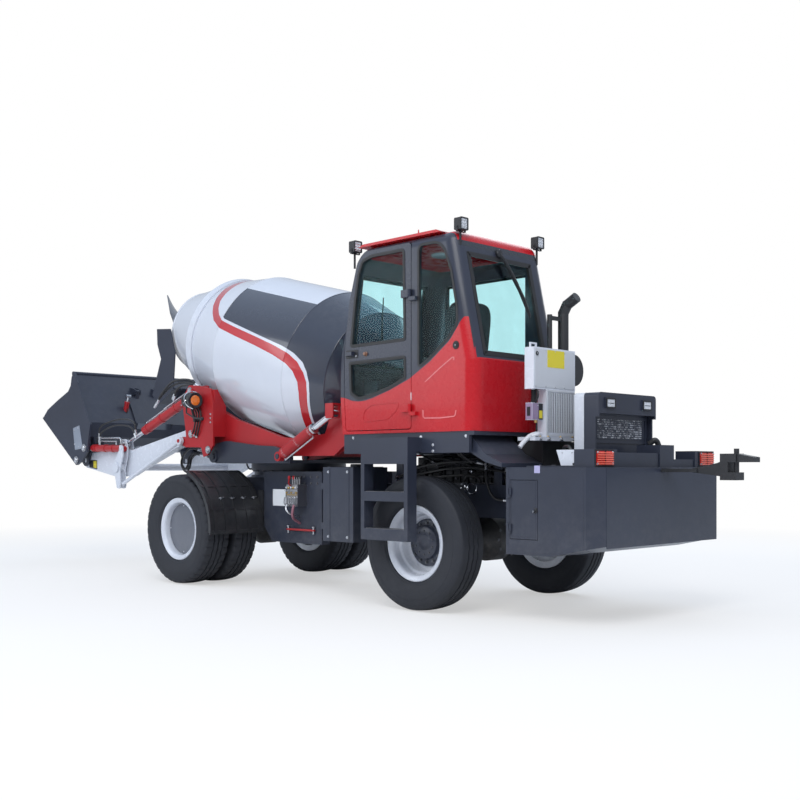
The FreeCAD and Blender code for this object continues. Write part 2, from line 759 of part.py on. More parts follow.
# ---- front carrier ----------------------------------------------------------------------------
def front_frame():
    core = box(front_frame_rear_x + 100, front_frame_nose_x, -front_frame_half, front_frame_half,
               front_axle_seat, front_frame_top)
    keel = box(front_frame_rear_x + 100, 2450, -front_frame_half, front_frame_half, 480, front_axle_seat)
    side = plate_y([(front_frame_rear_x, front_frame_bottom), (front_frame_rear_x, 1080, 20),
                    (2420, 1080, 20), (2420, 560), (2300, front_frame_bottom)],
                   front_frame_half, front_side_half)
    lug = plate_z([(pivot_x - 100, -70, 40), (front_frame_rear_x + 101, -110), (front_frame_rear_x + 101, 110),
                   (pivot_x - 100, 70, 40)], lug_bottom, lug_top)
    bore = pin_z(pivot_x, 0, pivot_pin_radius + pin_gap, 0, 2000)
    pocket = box(front_frame_rear_x, steer_head[0] + 70, 170, front_frame_half, steer_head[2] - 60,
                 steer_head[2] + 60)
    core = cut(core, pocket, right(pocket))
    seat = pin_z(slew_x, 0, ring_radius - 30, front_frame_top, ring_top - running_gap)
    flange = pin_z(slew_x, 0, ring_radius, front_frame_top, front_frame_top + 25)
    return fuse([core, keel, side, right(side), cut(lug, bore), seat, flange])


def mudguards():
    """Ribbed guards over the rear half of the twin tyres."""
    reach = tyre_radius + 50
    guard_edge = twin_inner_y + twin_spacing + tyre_width / 2 + 14
    centre = V(wheelbase, 0, tyre_radius)
    outer = turned([(reach, front_side_half + 10), (reach + 18, front_side_half + 10),
                    (reach + 18, guard_edge), (reach, guard_edge)], centre, LEFT, V(1, 0, 0))
    sector = plate_y([(wheelbase, tyre_radius), (wheelbase - 300, 1400), (wheelbase - 1200, 1400),
                      (wheelbase - 1200, tyre_radius - 60)], 0, 2000)
    band = outer.common(sector)
    stay = box(wheelbase - reach - 12, wheelbase - reach + 60, front_side_half, front_side_half + 20, 640, 900)
    stay = stay.cut(pin_y((wheelbase, tyre_radius), reach + 2, 0, 2000))
    return two(fuse([band, stay]))


def valve_bank():
    block = box(1790, 1950, front_side_half, front_side_half + 110, 760, 960)
    knobs = [pin_z(1820 + 32 * i, front_side_half + 60, 9, 960, 1030) for i in range(4)]
    return fuse([block] + knobs)


# ---- slewing base -----------------------------------------------------------------------------
def slew_base():
    ring = pin_z(slew_x, 0, ring_radius, ring_top, base_bottom)
    floor = box(tilt_foot[0] - 80, tilt_pin[0] - 75, -base_plate_y - base_plate, base_plate_y + base_plate,
                base_bottom, base_bottom + 30)
    side = plate_y([(tilt_foot[0] - 80, base_bottom), (tilt_foot[0] - 80, 1256, 15), (2100, 1317, 80),
                    (2350, 1327, 80), (2830, 1378, 80), (tilt_pin[0] + 70, 1335, 40),
                    (tilt_pin[0] + 70, 1200), (tilt_pin[0] - 40, base_bottom)],
                   base_plate_y, base_plate_y + base_plate)
    front_pin = pin_y(tilt_pin, 30, beam_y - 20, base_plate_y + base_plate + 25)
    foot_pin = pin_y(tilt_foot, 25, base_plate_y, tilt_cylinder_y + 35)
    cap = pin_y(tilt_pin, 62, base_plate_y + base_plate, base_plate_y + base_plate + 14)
    sides = fuse([side, front_pin, foot_pin, cap])
    return fuse([ring, floor, sides, right(sides)])


# ---- cradle -----------------------------------------------------------------------------------
def drum_point(station, radius=0, side=0):
    """A point by its distance from the mouth along the drum's axis, and above it and beside it."""
    a = math.radians(drum_tilt)
    return V(mouth[0] - station * math.cos(a) - radius * math.sin(a), side,
             mouth[1] - station * math.sin(a) + radius * math.cos(a))


def drum_axis():
    a = math.radians(drum_tilt)
    return V(-math.cos(a), 0, -math.sin(a))


def drum_up():
    a = math.radians(drum_tilt)
    return V(-math.sin(a), 0, math.cos(a))


beam_outline = [(1150, 1320, 30), (1300, 1222), (1700, 1222), (2700, 1222), (2980, 1190, 30), (3110, 1190, 30),
                (3110, 1784), (2964, 1679), (2746, 1590), (2405, 1500), (2030, 1398), (1744, 1385),
                (1420, 1420), (1300, 1676, 30), (1150, 1676)]
tower_outline = [(3310, 1940, 30), (3150, 1930), (2940, 1890), (2900, 1750), (2900, 1330), (2990, 1238),
                 (3060, 1222), (3100, 1318), (3360, 1320), (3440, 1345, 20), (3475, 1385, 30),
                 (3440, 1425, 20), (3360, 1425), (3370, 1500), (3410, 1700), (3390, 1850)]


def cradle():
    beam = plate_y(beam_outline, beam_y, beam_y + beam_width)
    beam = beam.cut(pin_y(tilt_pin, 30 + pin_gap, 0, 900))
    inner = plate_y([(3330, 1940, 20), (3175, 1940, 20), (3175, 1700), (3111, 1600), (3111, 1400),
                     (3135, 1320), (3360, 1320), (3410, 1700)], tower_inner_y, tower_inner_y + tower_plate)
    bridge = box(3080, 3125, beam_y, tower_inner_y + 1, 1400, 1600)
    outer_y = arm_y + arm_width + 15
    outer = plate_y(tower_outline, outer_y, outer_y + tower_plate)
    web = plate_x([(beam_y + beam_width - 1, 1420), (outer_y + 1, 1420), (outer_y + 1, 1880),
                   (700, 1880), (beam_y + beam_width - 1, 1720)], 2900, 2930)
    arm_pin = pin_y(arm_pivot, 35, tower_inner_y, outer_y + tower_plate + 12)
    lift_pin = pin_y(lift_head, 25, tower_inner_y, outer_y + tower_plate + 10)
    nose = pin_y(nose_pin, 18, outer_y, link_y + 26)
    parts = [beam, inner, bridge, outer, web, arm_pin, lift_pin, nose]
    fork = 4 + 56 / 2
    for y in (tilt_cylinder_y - fork - 12, tilt_cylinder_y + fork):
        parts.append(plate_y([(1150, 1545, 20), (1250, 1545, 20), (1250, 1676), (1150, 1676)], y, y + 12))
    parts.append(box(1150, 1250, beam_y + 1, tilt_cylinder_y + fork + 12, 1662, 1676))
    left = fuse(parts)
    ties = [box(1200, 1270, -beam_y - 1, beam_y + 1, 1260, 1330),
            box(1960, 2040, -beam_y - 1, beam_y + 1, 1225, 1262),
            box(3330, 3400, -tower_inner_y - 1, tower_inner_y + 1, 1440, 1560)]
    return fuse([left, right(left)] + ties)


gearbox_gap = 3


def drum_drive():
    """Gearbox on the drum's axis and the pedestal that ties it to the rear cross-beam."""
    start = drum_stations[-1][0] + flange_length + gearbox_gap
    case = Part.makeCylinder(190, 110, drum_point(start), drum_axis())
    motor = Part.makeCylinder(95, 60, drum_point(start + 110), drum_axis())
    foot = plate_y([(1200, 1262), (1200, 1328), (1130, 1345), (1085, 1700), (960, 1700), (1020, 1262)], -170, 170)
    return fuse([case, motor, foot])


def drum_rollers():
    """Front cross-beam's roller brackets with the two rollers under the drum's track."""
    track = track_outer()
    a = math.radians(roller_angle)
    parts = []
    reach = track + running_gap + roller_radius
    for sign in (1, -1):
        centre = drum_point(track_station, -reach * math.cos(a), sign * reach * math.sin(a))
        wheel = Part.makeCylinder(roller_radius, 70, centre - drum_axis() * 35, drum_axis())
        axle_pin = Part.makeCylinder(18, 130, centre - drum_axis() * 65, drum_axis())
        cheek = []
        for along in (-60, 45):
            at = centre + drum_axis() * along
            y = sign * reach * math.sin(a)
            plate = plate_y([(at.x - 12, 1560), (at.x + 12, 1560), (at.x + 12, at.z + 20), (at.x - 12, at.z + 20)],
                            y - 45, y + 45)
            cheek.append(plate)
        parts.append(fuse([wheel, axle_pin] + cheek))
    bed = box(3330, 3760, 300, 450, 1560, 1585)
    return fuse(parts + [bed, right(bed)])


def track_outer():
    return drum_stations[1][1] + track_height


chute_y = 462
chute_sheet = 12


def chute():
    """Guard plates beside the mouth, the sloping spout under it and its stays."""
    cheek = plate_y([(4075, 2600), (4330, 2620), (4320, 2450), (4250, 2290), (4420, 1905), (4290, 1800),
                     (4020, 1950), (3985, 2330)], chute_y, chute_y + chute_sheet)
    floor = plate_y([(4020, 1950), (4290, 1800), (4420, 1905), (4405, 1920), (4290, 1822), (4030, 1966)],
                    -chute_y - 1, chute_y + 1)
    stay = plate_y([(3400, 1445), (3400, 1550), (4030, 1955), (4290, 1805), (4230, 1780), (3480, 1445)], 250, 270)
    return fuse([cheek, right(cheek), floor, stay, right(stay)])


def side_lamps():
    """Round working lamp and bracket on the outside of each tower."""
    y = arm_y + arm_width + 15 + tower_plate
    can = rod((3200, y + 86, 1780), (3060, y + 100, 1775), 75)
    stem = rod((3130, y + 92, 1720), (3120, y + 60, 1580), 14)
    foot = rod((3120, y, 1580), (3120, y + 70, 1580), 16)
    return two(fuse([can, stem, foot]))


# ---- drum -------------------------------------------------------------------------------------
def drum():
    outer = [(r, s) for s, r in drum_stations]
    inner = [(r - drum_wall, s) for s, r in drum_stations[:-1]]
    last = drum_stations[-1]
    profile = outer + [(0, last[0]), (0, last[0] - drum_wall), (last[1] - drum_wall, last[0] - drum_wall)]
    profile += list(reversed(inner))
    shell = turned(profile, drum_point(0), drum_axis(), drum_up())
    ring_r = track_outer()
    half = track_width / 2
    track = turned([(ring_r - track_height - 8, track_station - half), (ring_r, track_station - half),
                    (ring_r, track_station + half), (ring_r - track_height - 8, track_station + half)],
                   drum_point(0), drum_axis(), drum_up())
    track = track.cut(turned([(0, track_station - half - 1), (600, track_station - half - 1),
                              (628, track_station + half + 1), (0, track_station + half + 1)],
                             drum_point(0), drum_axis(), drum_up()))
    flange = Part.makeCylinder(flange_r, flange_length, drum_point(last[0]), drum_axis())
    blades = [blade(start) for start in (50, 230)]
    return fuse([shell, track, flange] + blades)


def blade(start):
    """Mixing spiral: a strip that climbs round inside the wall and ends ahead of the mouth."""
    stations = ((-blade_reach, -12, 250, 400), (-150, 18, 215, 420), (60, 38, 230, 432), (330, 68, 320, 516),
                (640, 100, 430, 614))
    wires = []
    for s, turn, r0, r1 in stations:
        a = math.radians(start + turn)
        radial = drum_up() * math.cos(a) + LEFT * math.sin(a)
        across = drum_axis().cross(radial)
        p0 = drum_point(s) + radial * r0
        p1 = drum_point(s) + radial * r1
        t = across * 6
        wires.append(Part.makePolygon([p0 - t, p1 - t, p1 + t, p0 + t, p0 - t]))
    return Part.makeLoft(wires, True, True)


crank_inner_y = link_y - eye_width / 2 - 6
crank_outer_y = link_y + eye_width / 2 + 6


# ---- loading arms -----------------------------------------------------------------------------
arm_outline = [(3215, 1376, 40), (3571, 1323), (4232, 1111), (4463, 1025), (4748, 1015), (5400, 1118, 40),
               (5452, 1195, 60), (5400, 1272, 40), (4680, 1318), (4422, 1305), (3428, 1490), (3222, 1546, 60),
               (3137, 1461, 60)]
crank_outline = [(4462, 1356, 30), (4538, 1356, 30), (4545, 1290), (4650, 1150, 50), (4580, 890, 36),
                 (4500, 890, 36), (4520, 1090), (4462, 1240)]


def bell_cranks():
    """A pair of plates on each side, on the cross tube's end, with the bucket cylinder's foot pin."""
    inner = plate_y(crank_outline, crank_inner_y - 12, crank_inner_y)
    outer = plate_y(crank_outline, crank_outer_y, crank_outer_y + 12)
    hub = pin_y(bracket_pivot, cross_radius + 16, crank_inner_y - 12, crank_outer_y + 12)
    foot = pin_y(bucket_cylinder_foot, 18, crank_inner_y - 18, crank_outer_y + 18)
    buttons = [pin_y(link_foot, 26, crank_outer_y + 11, crank_outer_y + 18)]
    bore = pin_y(bracket_pivot, cross_radius + pin_gap, 0, 1000)
    return two(cut(fuse([inner, outer, hub, foot] + buttons), bore))


def lift_arms():
    arm = plate_y(arm_outline, arm_y, arm_y + arm_width)
    arm = cut(arm, pin_y(arm_pivot, 35 + pin_gap, 0, 900))
    arm = cut(arm, plate_y([(4530, 1400), (4670, 1400), (4670, 1240), (4530, 1240)], arm_y + 16,
                           arm_y + arm_width - 16))
    cross = pin_y(bracket_pivot, cross_radius, -crank_outer_y - 30, crank_outer_y + 30)
    cap = pin_y(bracket_pivot, cross_radius + 18, crank_outer_y + 13, crank_outer_y + 30)
    ears = []
    for y in (arm_y, arm_y + arm_width - 16):
        ears.append(plate_y([(4520, 1300), (4560, 1425, 30), (4640, 1425, 30), (4680, 1310)], y, y + 16))
    bucket_pin = pin_y(bucket_pivot, 28, arm_y - 22, arm_y + arm_width + 22)
    left = fuse([arm, cap, bucket_pin] + ears)
    return fuse([left, right(left), cross])


def cylinder(foot, head, y, foot_bore, barrel_end, radius, rod_radius, width, stroke_in):
    """Barrel with its foot eye, and rod with its head eye, along one line at a Y value.

    stroke_in is how far the rod can still slide into the barrel from where it stands.
    """
    start = V(foot[0], y, foot[1])
    end = V(head[0], y, head[1])
    along = (end - start).normalize()
    length = (end - start).Length
    eye = radius * 0.85
    ring = cut(pin_y(foot, eye, y - width / 2, y + width / 2), pin_y(foot, foot_bore, y - width, y + width))
    neck = Part.makeCylinder(radius * 0.6, eye + 14, start + along * (foot_bore + 8), along)
    tube = Part.makeCylinder(radius, barrel_end - eye - 18, start + along * (eye + 18), along)
    neck = neck.common(Part.makeBox(4000, width, 4000, V(foot[0] - 2000, y - width / 2, foot[1] - 2000)))
    bore_depth = barrel_end - (eye + 40)
    hollow = Part.makeCylinder(rod_radius + pin_gap, bore_depth + 1, start + along * (eye + 40), along)
    barrel = cut(fuse([ring, neck, tube]), hollow)
    head_eye = pin_y(head, rod_radius * 1.7, y - width / 2, y + width / 2)
    rod_start = eye + 50 + stroke_in
    shank = Part.makeCylinder(rod_radius, length - rod_start, start + along * rod_start, along)
    return barrel, fuse([shank, head_eye])


lift_stroke_in = 340
steer_stroke_in = 140


def lift_cylinder():
    return cylinder(lift_head, lift_foot, arm_y + arm_width / 2, 25 + pin_gap, 1060, 46, 24, 50, lift_stroke_in)


def bucket_cylinder():
    return cylinder(bucket_cylinder_foot, bucket_cylinder_head, link_y, 18 + pin_gap, 640, 38, 20, eye_width, 20)


def tilt_cylinder():
    return cylinder(tilt_foot, tilt_head, tilt_cylinder_y, 25 + pin_gap, 520, 52, 28, 56, 20)


def link_rods():
    start = V(link_foot[0], link_y, link_foot[1])
    end = V(nose_pin[0], link_y, nose_pin[1])
    tube = rod((start.x, start.y, start.z), (end.x, end.y, end.z), 20)
    keep = box(0, 9000, link_y - 21, link_y + 21, 0, 3000)
    foot_eye = pin_y(link_foot, 34, link_y - eye_width / 2, link_y + eye_width / 2)
    head_eye = pin_y(nose_pin, 40, link_y - eye_width / 2, link_y + eye_width / 2)
    rod_part = cut(fuse([tube, foot_eye, head_eye]), pin_y(nose_pin, 18 + pin_gap, 0, 900))
    return two(rod_part.common(keep))


# ---- bucket -----------------------------------------------------------------------------------
bucket_side_outline = [(5376, 1140, 30), (5268, 1183, 30), (5140, 1290), (5070, 1595), (5345, 2068),
                       (5420, 2190, 15), (5455, 2180, 15), (5482, 2139), (5503, 2046), (5563, 1983),
                       (5810, 1890), (6041, 1793), (6163, 1693)]
bucket_floor = [(5440, 2180), (5105, 1620), (5170, 1460), (5340, 1310), (5550, 1300), (6150, 1690)]


def offset_line(points, by):
    """Open polyline moved sideways by a distance, to the left of its direction."""
    out = []
    for i, point in enumerate(points):
        here = V(point[0], point[1], 0)
        sides = []
        if i > 0:
            sides.append(here - V(points[i - 1][0], points[i - 1][1], 0))
        if i < len(points) - 1:
            sides.append(V(points[i + 1][0], points[i + 1][1], 0) - here)
        normals = []
        for side in sides:
            side.normalize()
            normals.append(V(-side.y, side.x, 0))
        mean = normals[0] if len(normals) == 1 else normals[0] + normals[1]
        mean.normalize()
        moved = here + mean * (by / mean.dot(normals[0]))
        out.append((moved.x, moved.y))
    return out


def bucket():
    half = bucket_half_width
    sheet = plate_y(bucket_floor + list(reversed(offset_line(bucket_floor, bucket_sheet))), -half + 2, half - 2)
    opening = box(5000, 5600, -gate_half_width, gate_half_width, gate_bottom, gate_top)
    sheet = sheet.cut(opening)
    side = plate_y(bucket_side_outline, half - bucket_side, half)
    lip = rod((5452, -half + 2, 2182), (5452, half - 2, 2182), 24)
    edge = plate_y([(6040, 1610), (6163, 1693), (6150, 1712), (6030, 1632)], -half, half)
    parts = [sheet, side, right(side), lip, edge]
    inner_y = arm_y - 28
    outer_y = arm_y + arm_width + swing_gap
    for y0, y1 in ((inner_y, inner_y + 18), (outer_y, outer_y + 18)):
        lug = plate_y([(5200, 1445), (5300, 1170, 20), (5370, 1120, 50), (5440, 1170, 50), (5500, 1312)], y0, y1)
        lug = lug.cut(pin_y(bucket_pivot, 28 + pin_gap, 0, 900))
        parts += [lug, right(lug)]
    for y0 in (link_y - 34, link_y + 22):
        ear = plate_y([(5165, 1300, 20), (5235, 1300, 20), (5345, 1320), (5165, 1470), (5150, 1380)], y0, y0 + 12)
        parts += [ear, right(ear)]
    lugs = gate_lugs()
    parts += [lugs, right(lugs)]
    return fuse(parts)


gate_bottom = 1560
gate_top = 1940
gate_pin = (5269, 1999)
gate_pin_radius = 12
gate_sheet = 14
gate_clear = 6                 # leaf off the back sheet
gate_eye_y = 170               # outer face of a hinge eye


def gate_lugs():
    """Two pairs of lugs above the outlet, each pair with a pin for the gate's eye."""
    parts = []
    for y in (gate_eye_y, gate_eye_y - 68):
        lug = plate_y([(5316, 1962), (5368, 2050), (5290, 2038), (5246, 2022, 12), (5250, 1968, 12)], y, y + 12)
        parts.append(lug)
    parts.append(pin_y(gate_pin, gate_pin_radius, gate_eye_y - 68, gate_eye_y + 20))
    return fuse(parts)


def bucket_gate():
    """Sheet that closes the outlet in the bucket's back, hung from two eyes at its top edge."""
    slope = (5440 - 5105) / (2180 - 1620)

    def back(z):
        return 5105 + slope * (z - 1620) - gate_clear

    low = gate_bottom + 65
    high = gate_top + 10
    leaf = plate_y([(back(low), low), (back(high), high), (back(high) - gate_sheet, high),
                    (back(low) - gate_sheet, low)], -gate_half_width - 30, gate_half_width + 30)
    eye = pin_y(gate_pin, gate_pin_radius + 12, gate_eye_y - 50, gate_eye_y - 6)
    arm = plate_y([(5249, 1999), (5262, 1925), (5272, 1925), (5288, 1949), (5285, 2003)],
                  gate_eye_y - 50, gate_eye_y - 6)
    bore = pin_y(gate_pin, gate_pin_radius + pin_gap, -400, 400)
    return cut(fuse([leaf, eye, right(eye), arm, right(arm)]), bore)


# ---- steering cylinders -----------------------------------------------------------------------

def steering_cylinder(sign):
    foot = V(steer_foot[0], sign * steer_foot[1], steer_foot[2])
    head = V(steer_head[0], sign * steer_head[1], steer_head[2])
    along = (head - foot).normalize()
    barrel = fuse([pin_z(foot.x, foot.y, 34, foot.z - 25, foot.z + 25),
                   Part.makeCylinder(38, 470, foot + along * 30, along)])
    barrel = cut(barrel, pin_z(foot.x, foot.y, steer_pin_radius + pin_gap, 0, 2000),
                 Part.makeCylinder(22 + pin_gap, 480, foot + along * 80, along))
    rod_start = 90 + steer_stroke_in
    shank = Part.makeCylinder(22, (head - foot).Length - rod_start, foot + along * rod_start, along)
    eye = pin_z(head.x, head.y, 34, head.z - 25, head.z + 25)
    return barrel, fuse([shank, eye])


# ---- export -----------------------------------------------------------------------------------
def nodes():
    lift_barrel, lift_rod = lift_cylinder()
    bucket_barrel, bucket_rod = bucket_cylinder()
    tilt_barrel, tilt_rod = tilt_cylinder()
    steer_left_barrel, steer_left_rod = steering_cylinder(1)
    steer_right_barrel, steer_right_rod = steering_cylinder(-1)
    rear_tyre = tyre(0, rear_track_half)
    twins = Part.makeCompound([tyre(wheelbase, twin_inner_y), tyre(wheelbase, twin_inner_y + twin_spacing)])
    found = {
        "rear_frame": rear_frame(), "articulation_pin": articulation_pin(), "rear_axle": rear_axle(),
        "rear_box": rear_box(), "locker_door": locker_door(),
        "rear_deck": rear_deck(), "tail_lamps": tail_lamps(), "tow_coupling": tow_coupling(),
        "engine_block": engine_block(), "hood": hood(), "hood_tail": hood_tail(),
        "oil_cooler": oil_cooler(), "exhaust": exhaust(), "cab_lower": cab_lower(),
        "cab_pillars": cab_pillars(), "cab_roof": cab_roof(), "cab_glass": cab_glass(),
        "driver_seat": driver_seat(), "controls": controls(), "cab_platform": cab_platform(),
        "step_ladder": step_ladder(), "side_tanks": Part.makeCompound([side_tank(), far_tank()]),
        "work_lamps": work_lamps(),
        "cab_door": cab_door(), "door_glass": door_glass(),
        "front_frame": front_frame(), "front_axle": front_axle(), "mudguards": mudguards(),
        "valve_bank": valve_bank(), "slew_base": slew_base(), "cradle": cradle(),
        "drum_drive": drum_drive(), "drum_rollers": drum_rollers(), "chute": chute(),
        "side_lamps": side_lamps(), "drum": drum(), "lift_arms": lift_arms(), "bell_cranks": bell_cranks(),
        "lift_barrels": two(lift_barrel), "lift_rods": two(lift_rod),
        "bucket_barrels": two(bucket_barrel), "bucket_rods": two(bucket_rod),
        "tilt_barrels": two(tilt_barrel), "tilt_rods": two(tilt_rod), "link_rods": link_rods(),
        "bucket": bucket(), "bucket_gate": bucket_gate(),
        "rear_left_tyre": rear_tyre, "rear_right_tyre": right(rear_tyre),
        "rear_left_wheel": rear_wheel(), "rear_right_wheel": right(rear_wheel()),
        "front_left_tyres": twins, "front_right_tyres": right(twins),
        "steer_left_barrel": steer_left_barrel, "steer_left_rod": steer_left_rod,
        "steer_right_barrel": steer_right_barrel, "steer_right_rod": steer_right_rod,
        "front_left_wheel": front_wheel(), "front_right_wheel": right(front_wheel()),
    }
    return found


def main():
    os.makedirs("parts", exist_ok=True)
    for name, shape in nodes().items():
        moved = shape.copy()
        moved.translate(V(-origin_ahead, 0, 0))
        moved.exportStep("parts/" + name + ".step")


main()
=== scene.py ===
"""Looks of a self-loading concrete mixer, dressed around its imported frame."""
import math

import bmesh
import bpy
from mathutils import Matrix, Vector


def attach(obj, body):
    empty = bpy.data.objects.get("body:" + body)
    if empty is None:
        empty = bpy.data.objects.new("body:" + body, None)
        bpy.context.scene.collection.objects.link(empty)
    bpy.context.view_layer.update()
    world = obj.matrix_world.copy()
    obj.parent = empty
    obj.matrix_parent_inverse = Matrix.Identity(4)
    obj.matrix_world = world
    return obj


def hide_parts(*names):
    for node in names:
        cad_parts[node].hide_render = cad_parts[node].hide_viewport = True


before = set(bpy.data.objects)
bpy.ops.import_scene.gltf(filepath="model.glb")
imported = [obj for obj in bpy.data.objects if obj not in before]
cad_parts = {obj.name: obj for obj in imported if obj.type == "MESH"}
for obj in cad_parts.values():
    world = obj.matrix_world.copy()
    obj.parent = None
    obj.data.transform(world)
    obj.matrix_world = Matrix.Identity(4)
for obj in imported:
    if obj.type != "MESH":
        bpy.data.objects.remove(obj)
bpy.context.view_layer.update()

bl_info = {
    "name": "Concrete Mixer Looks",
    "version": (1, 0, 0),
    "blender": (4, 5, 0),
    "location": "View3D > Sidebar > Mixer",
    "description": "Tyres, rims, paint, lamps, hoses and small fittings of a self-loading concrete mixer",
    "category": "Object",
}

AHEAD = 1.890                                   # frame origin, ahead of the rear axle
AXLE_HEIGHT = 527
WHEEL_BASE = 3010
REAR_Y, TWIN_IN, TWIN_OUT = 819, 649, 977       # middles of the single and twin tyres
REAR, FRONT = "rear_carrier", "front_carrier"
SIDES = (("left", 1), ("right", -1))
BACK, LEFT, UP = (-1, 0, 0), (0, 1, 0), (0, 0, 1)
MATS = {}


def at(x, y, z):
    """Place given in millimetres from the ground under the rear axle."""
    return Vector((x / 1000 - AHEAD, y / 1000, z / 1000))


def smooth_path(points, steps=8):
    """Points on a smooth curve that passes through the given ones."""
    pts = [Vector(p) for p in points]
    pts = [pts[0] * 2 - pts[1]] + pts + [pts[-1] * 2 - pts[-2]]
    out = []
    for i in range(1, len(pts) - 2):
        p0, p1, p2, p3 = pts[i - 1:i + 3]
        for k in range(steps):
            t = k / steps
            out.append(0.5 * ((2 * p1) + (p2 - p0) * t + (2 * p0 - 5 * p1 + 4 * p2 - p3) * t * t
                              + (3 * p1 - p0 - 3 * p2 + p3) * t ** 3))
    return out + [pts[-2]]


def wrap(n, count):
    """Faces between count closed rings of n points each, round a full turn."""
    return [(k * n + i, k * n + (i + 1) % n, (k + 1) % count * n + (i + 1) % n, (k + 1) % count * n + i)
            for k in range(count) for i in range(n)]


def circle(count):
    """Angles of evenly spaced places round a turn."""
    return [2 * math.pi * k / count for k in range(count)]


# ---- mesh building -------------------------------------------------------------------------------
class Shape:
    """Gathers the faces of one piece, each with a material number."""

    def __init__(self):
        self.verts, self.faces, self.marks = [], [], []

    def add(self, verts, faces, mark=0):
        base = len(self.verts)
        self.verts += [tuple(v) for v in verts]
        self.faces += [[base + i for i in f] for f in faces]
        self.marks += [mark] * len(faces)
        return self

    def block(self, x0, x1, y0, y1, z0, z1, mark=0):
        """Box given in millimetres."""
        verts = [at(x, y, z) for x in (x0, x1) for y in (y0, y1) for z in (z0, z1)]
        faces = [(0, 1, 3, 2), (4, 6, 7, 5), (0, 4, 5, 1), (2, 3, 7, 6), (0, 2, 6, 4), (1, 5, 7, 3)]
        return self.add(verts, faces, mark)

    def lathe(self, profile, centre, axis, count=64, mark=0):
        """Turned form: (along, radius) points about an axis through centre."""
        axis = Vector(axis).normalized()
        side = axis.orthogonal().normalized()
        other = axis.cross(side)
        verts = []
        for a in circle(count):
            out = side * math.cos(a) + other * math.sin(a)
            verts += [Vector(centre) + axis * s + out * r for s, r in profile]
        return self.add(verts, wrap(len(profile), count), mark)

    def disc(self, profile, centre, axis, count=48, mark=0):
        """Turned form whose profile starts and ends on the axis."""
        return self.lathe([(profile[0][0], 0.00005), *profile, (profile[-1][0], 0.00005)], centre, axis, count, mark)

    def tube(self, path, radius, sides=12, mark=0):
        """Round bar that follows points, closed at both ends."""
        path = [Vector(p) for p in path]
        last = len(path) - 1
        verts, up = [], None
        for i, p in enumerate(path):
            ahead = (path[min(i + 1, last)] - path[max(i - 1, 0)]).normalized()
            if up is None:
                up = ahead.orthogonal().normalized()
            up = (up - ahead * up.dot(ahead)).normalized()
            side = ahead.cross(up)
            verts += [p + (up * math.cos(a) + side * math.sin(a)) * radius for a in circle(sides)]
        faces = [(i * sides + k, i * sides + (k + 1) % sides, (i + 1) * sides + (k + 1) % sides, (i + 1) * sides + k)
                 for i in range(last) for k in range(sides)]
        faces += [list(range(sides - 1, -1, -1)), [last * sides + k for k in range(sides)]]
        return self.add(verts, faces, mark)

    def bar(self, points, radius, sides=12, mark=0, s=1, bend=0):
        """Tube through places in millimetres; s of -1 mirrors it, and bend is its steps between two places."""
        path = [at(x, s * y, z) for x, y, z in points]
        return self.tube(smooth_path(path, bend) if bend else path, radius, sides, mark)

    def hex_head(self, place, axis, radius, height, mark=0):
        """Bolt head with a washer under it."""
        axis = Vector(axis).normalized()
        self.disc([(0, radius * 1.25), (height * 0.25, radius * 1.25)], place, axis, 12, mark)
        return self.disc([(0, radius), (height * 0.85, radius), (height, radius * 0.86)], place, axis, 6, mark)

    def rim(self, loop, inner, outer, place, lo, hi, mark=0):
        """Band of even width along an outline, standing from lo to hi off its plane."""
        n = len(loop)
        rings = [moved_outline(loop, outer), moved_outline(loop, inner)]
        verts = [place(p.x, p.y, w) for w in (lo, hi) for ring in rings for p in ring]
        faces = []
        for i in range(n):
            j = (i + 1) % n
            faces += [(2 * n + i, 2 * n + j, 3 * n + j, 3 * n + i), (i, n + i, n + j, j),
                      (i, j, 2 * n + j, 2 * n + i), (n + i, 3 * n + i, 3 * n + j, n + j)]
        return self.add(verts, faces, mark)

    def pad(self, loop, place, lo, hi, mark=0):
        """Flat plate with an outline."""
        n = len(loop)
        verts = [place(p[0], p[1], w) for w in (lo, hi) for p in loop]
        faces = [list(range(n)), list(range(2 * n - 1, n - 1, -1))]
        faces += [(i, (i + 1) % n, (i + 1) % n + n, i + n) for i in range(n)]
        return self.add(verts, faces, mark)

    def object(self, name, merge):
        """Blender object with its doubled points merged and its faces turned outwards."""
        mesh = bpy.data.meshes.new(name)
        mesh.from_pydata(self.verts, [], self.faces)
        mesh.polygons.foreach_set("material_index", self.marks)
        bm = bmesh.new()
        bm.from_mesh(mesh)
        bmesh.ops.remove_doubles(bm, verts=bm.verts, dist=merge)
        bmesh.ops.recalc_face_normals(bm, faces=bm.faces)
        bm.to_mesh(mesh)
        bm.free()
        obj = bpy.data.objects.new(name, mesh)
        bpy.context.scene.collection.objects.link(obj)
        return obj

    def become(self, name, mats, slot, body=REAR, bevel=0.0, smooth=35):
        """Blender piece with its materials, riding on a body."""
        obj = self.object(name, 0.0002)
        if bevel:
            mod = obj.modifiers.new("Edges", "BEVEL")
            mod.width, mod.segments, mod.limit_method = bevel, 2, "ANGLE"
            mod.angle_limit, mod.harden_normals = math.radians(40), True
        return settle(obj, mats, body, smooth)

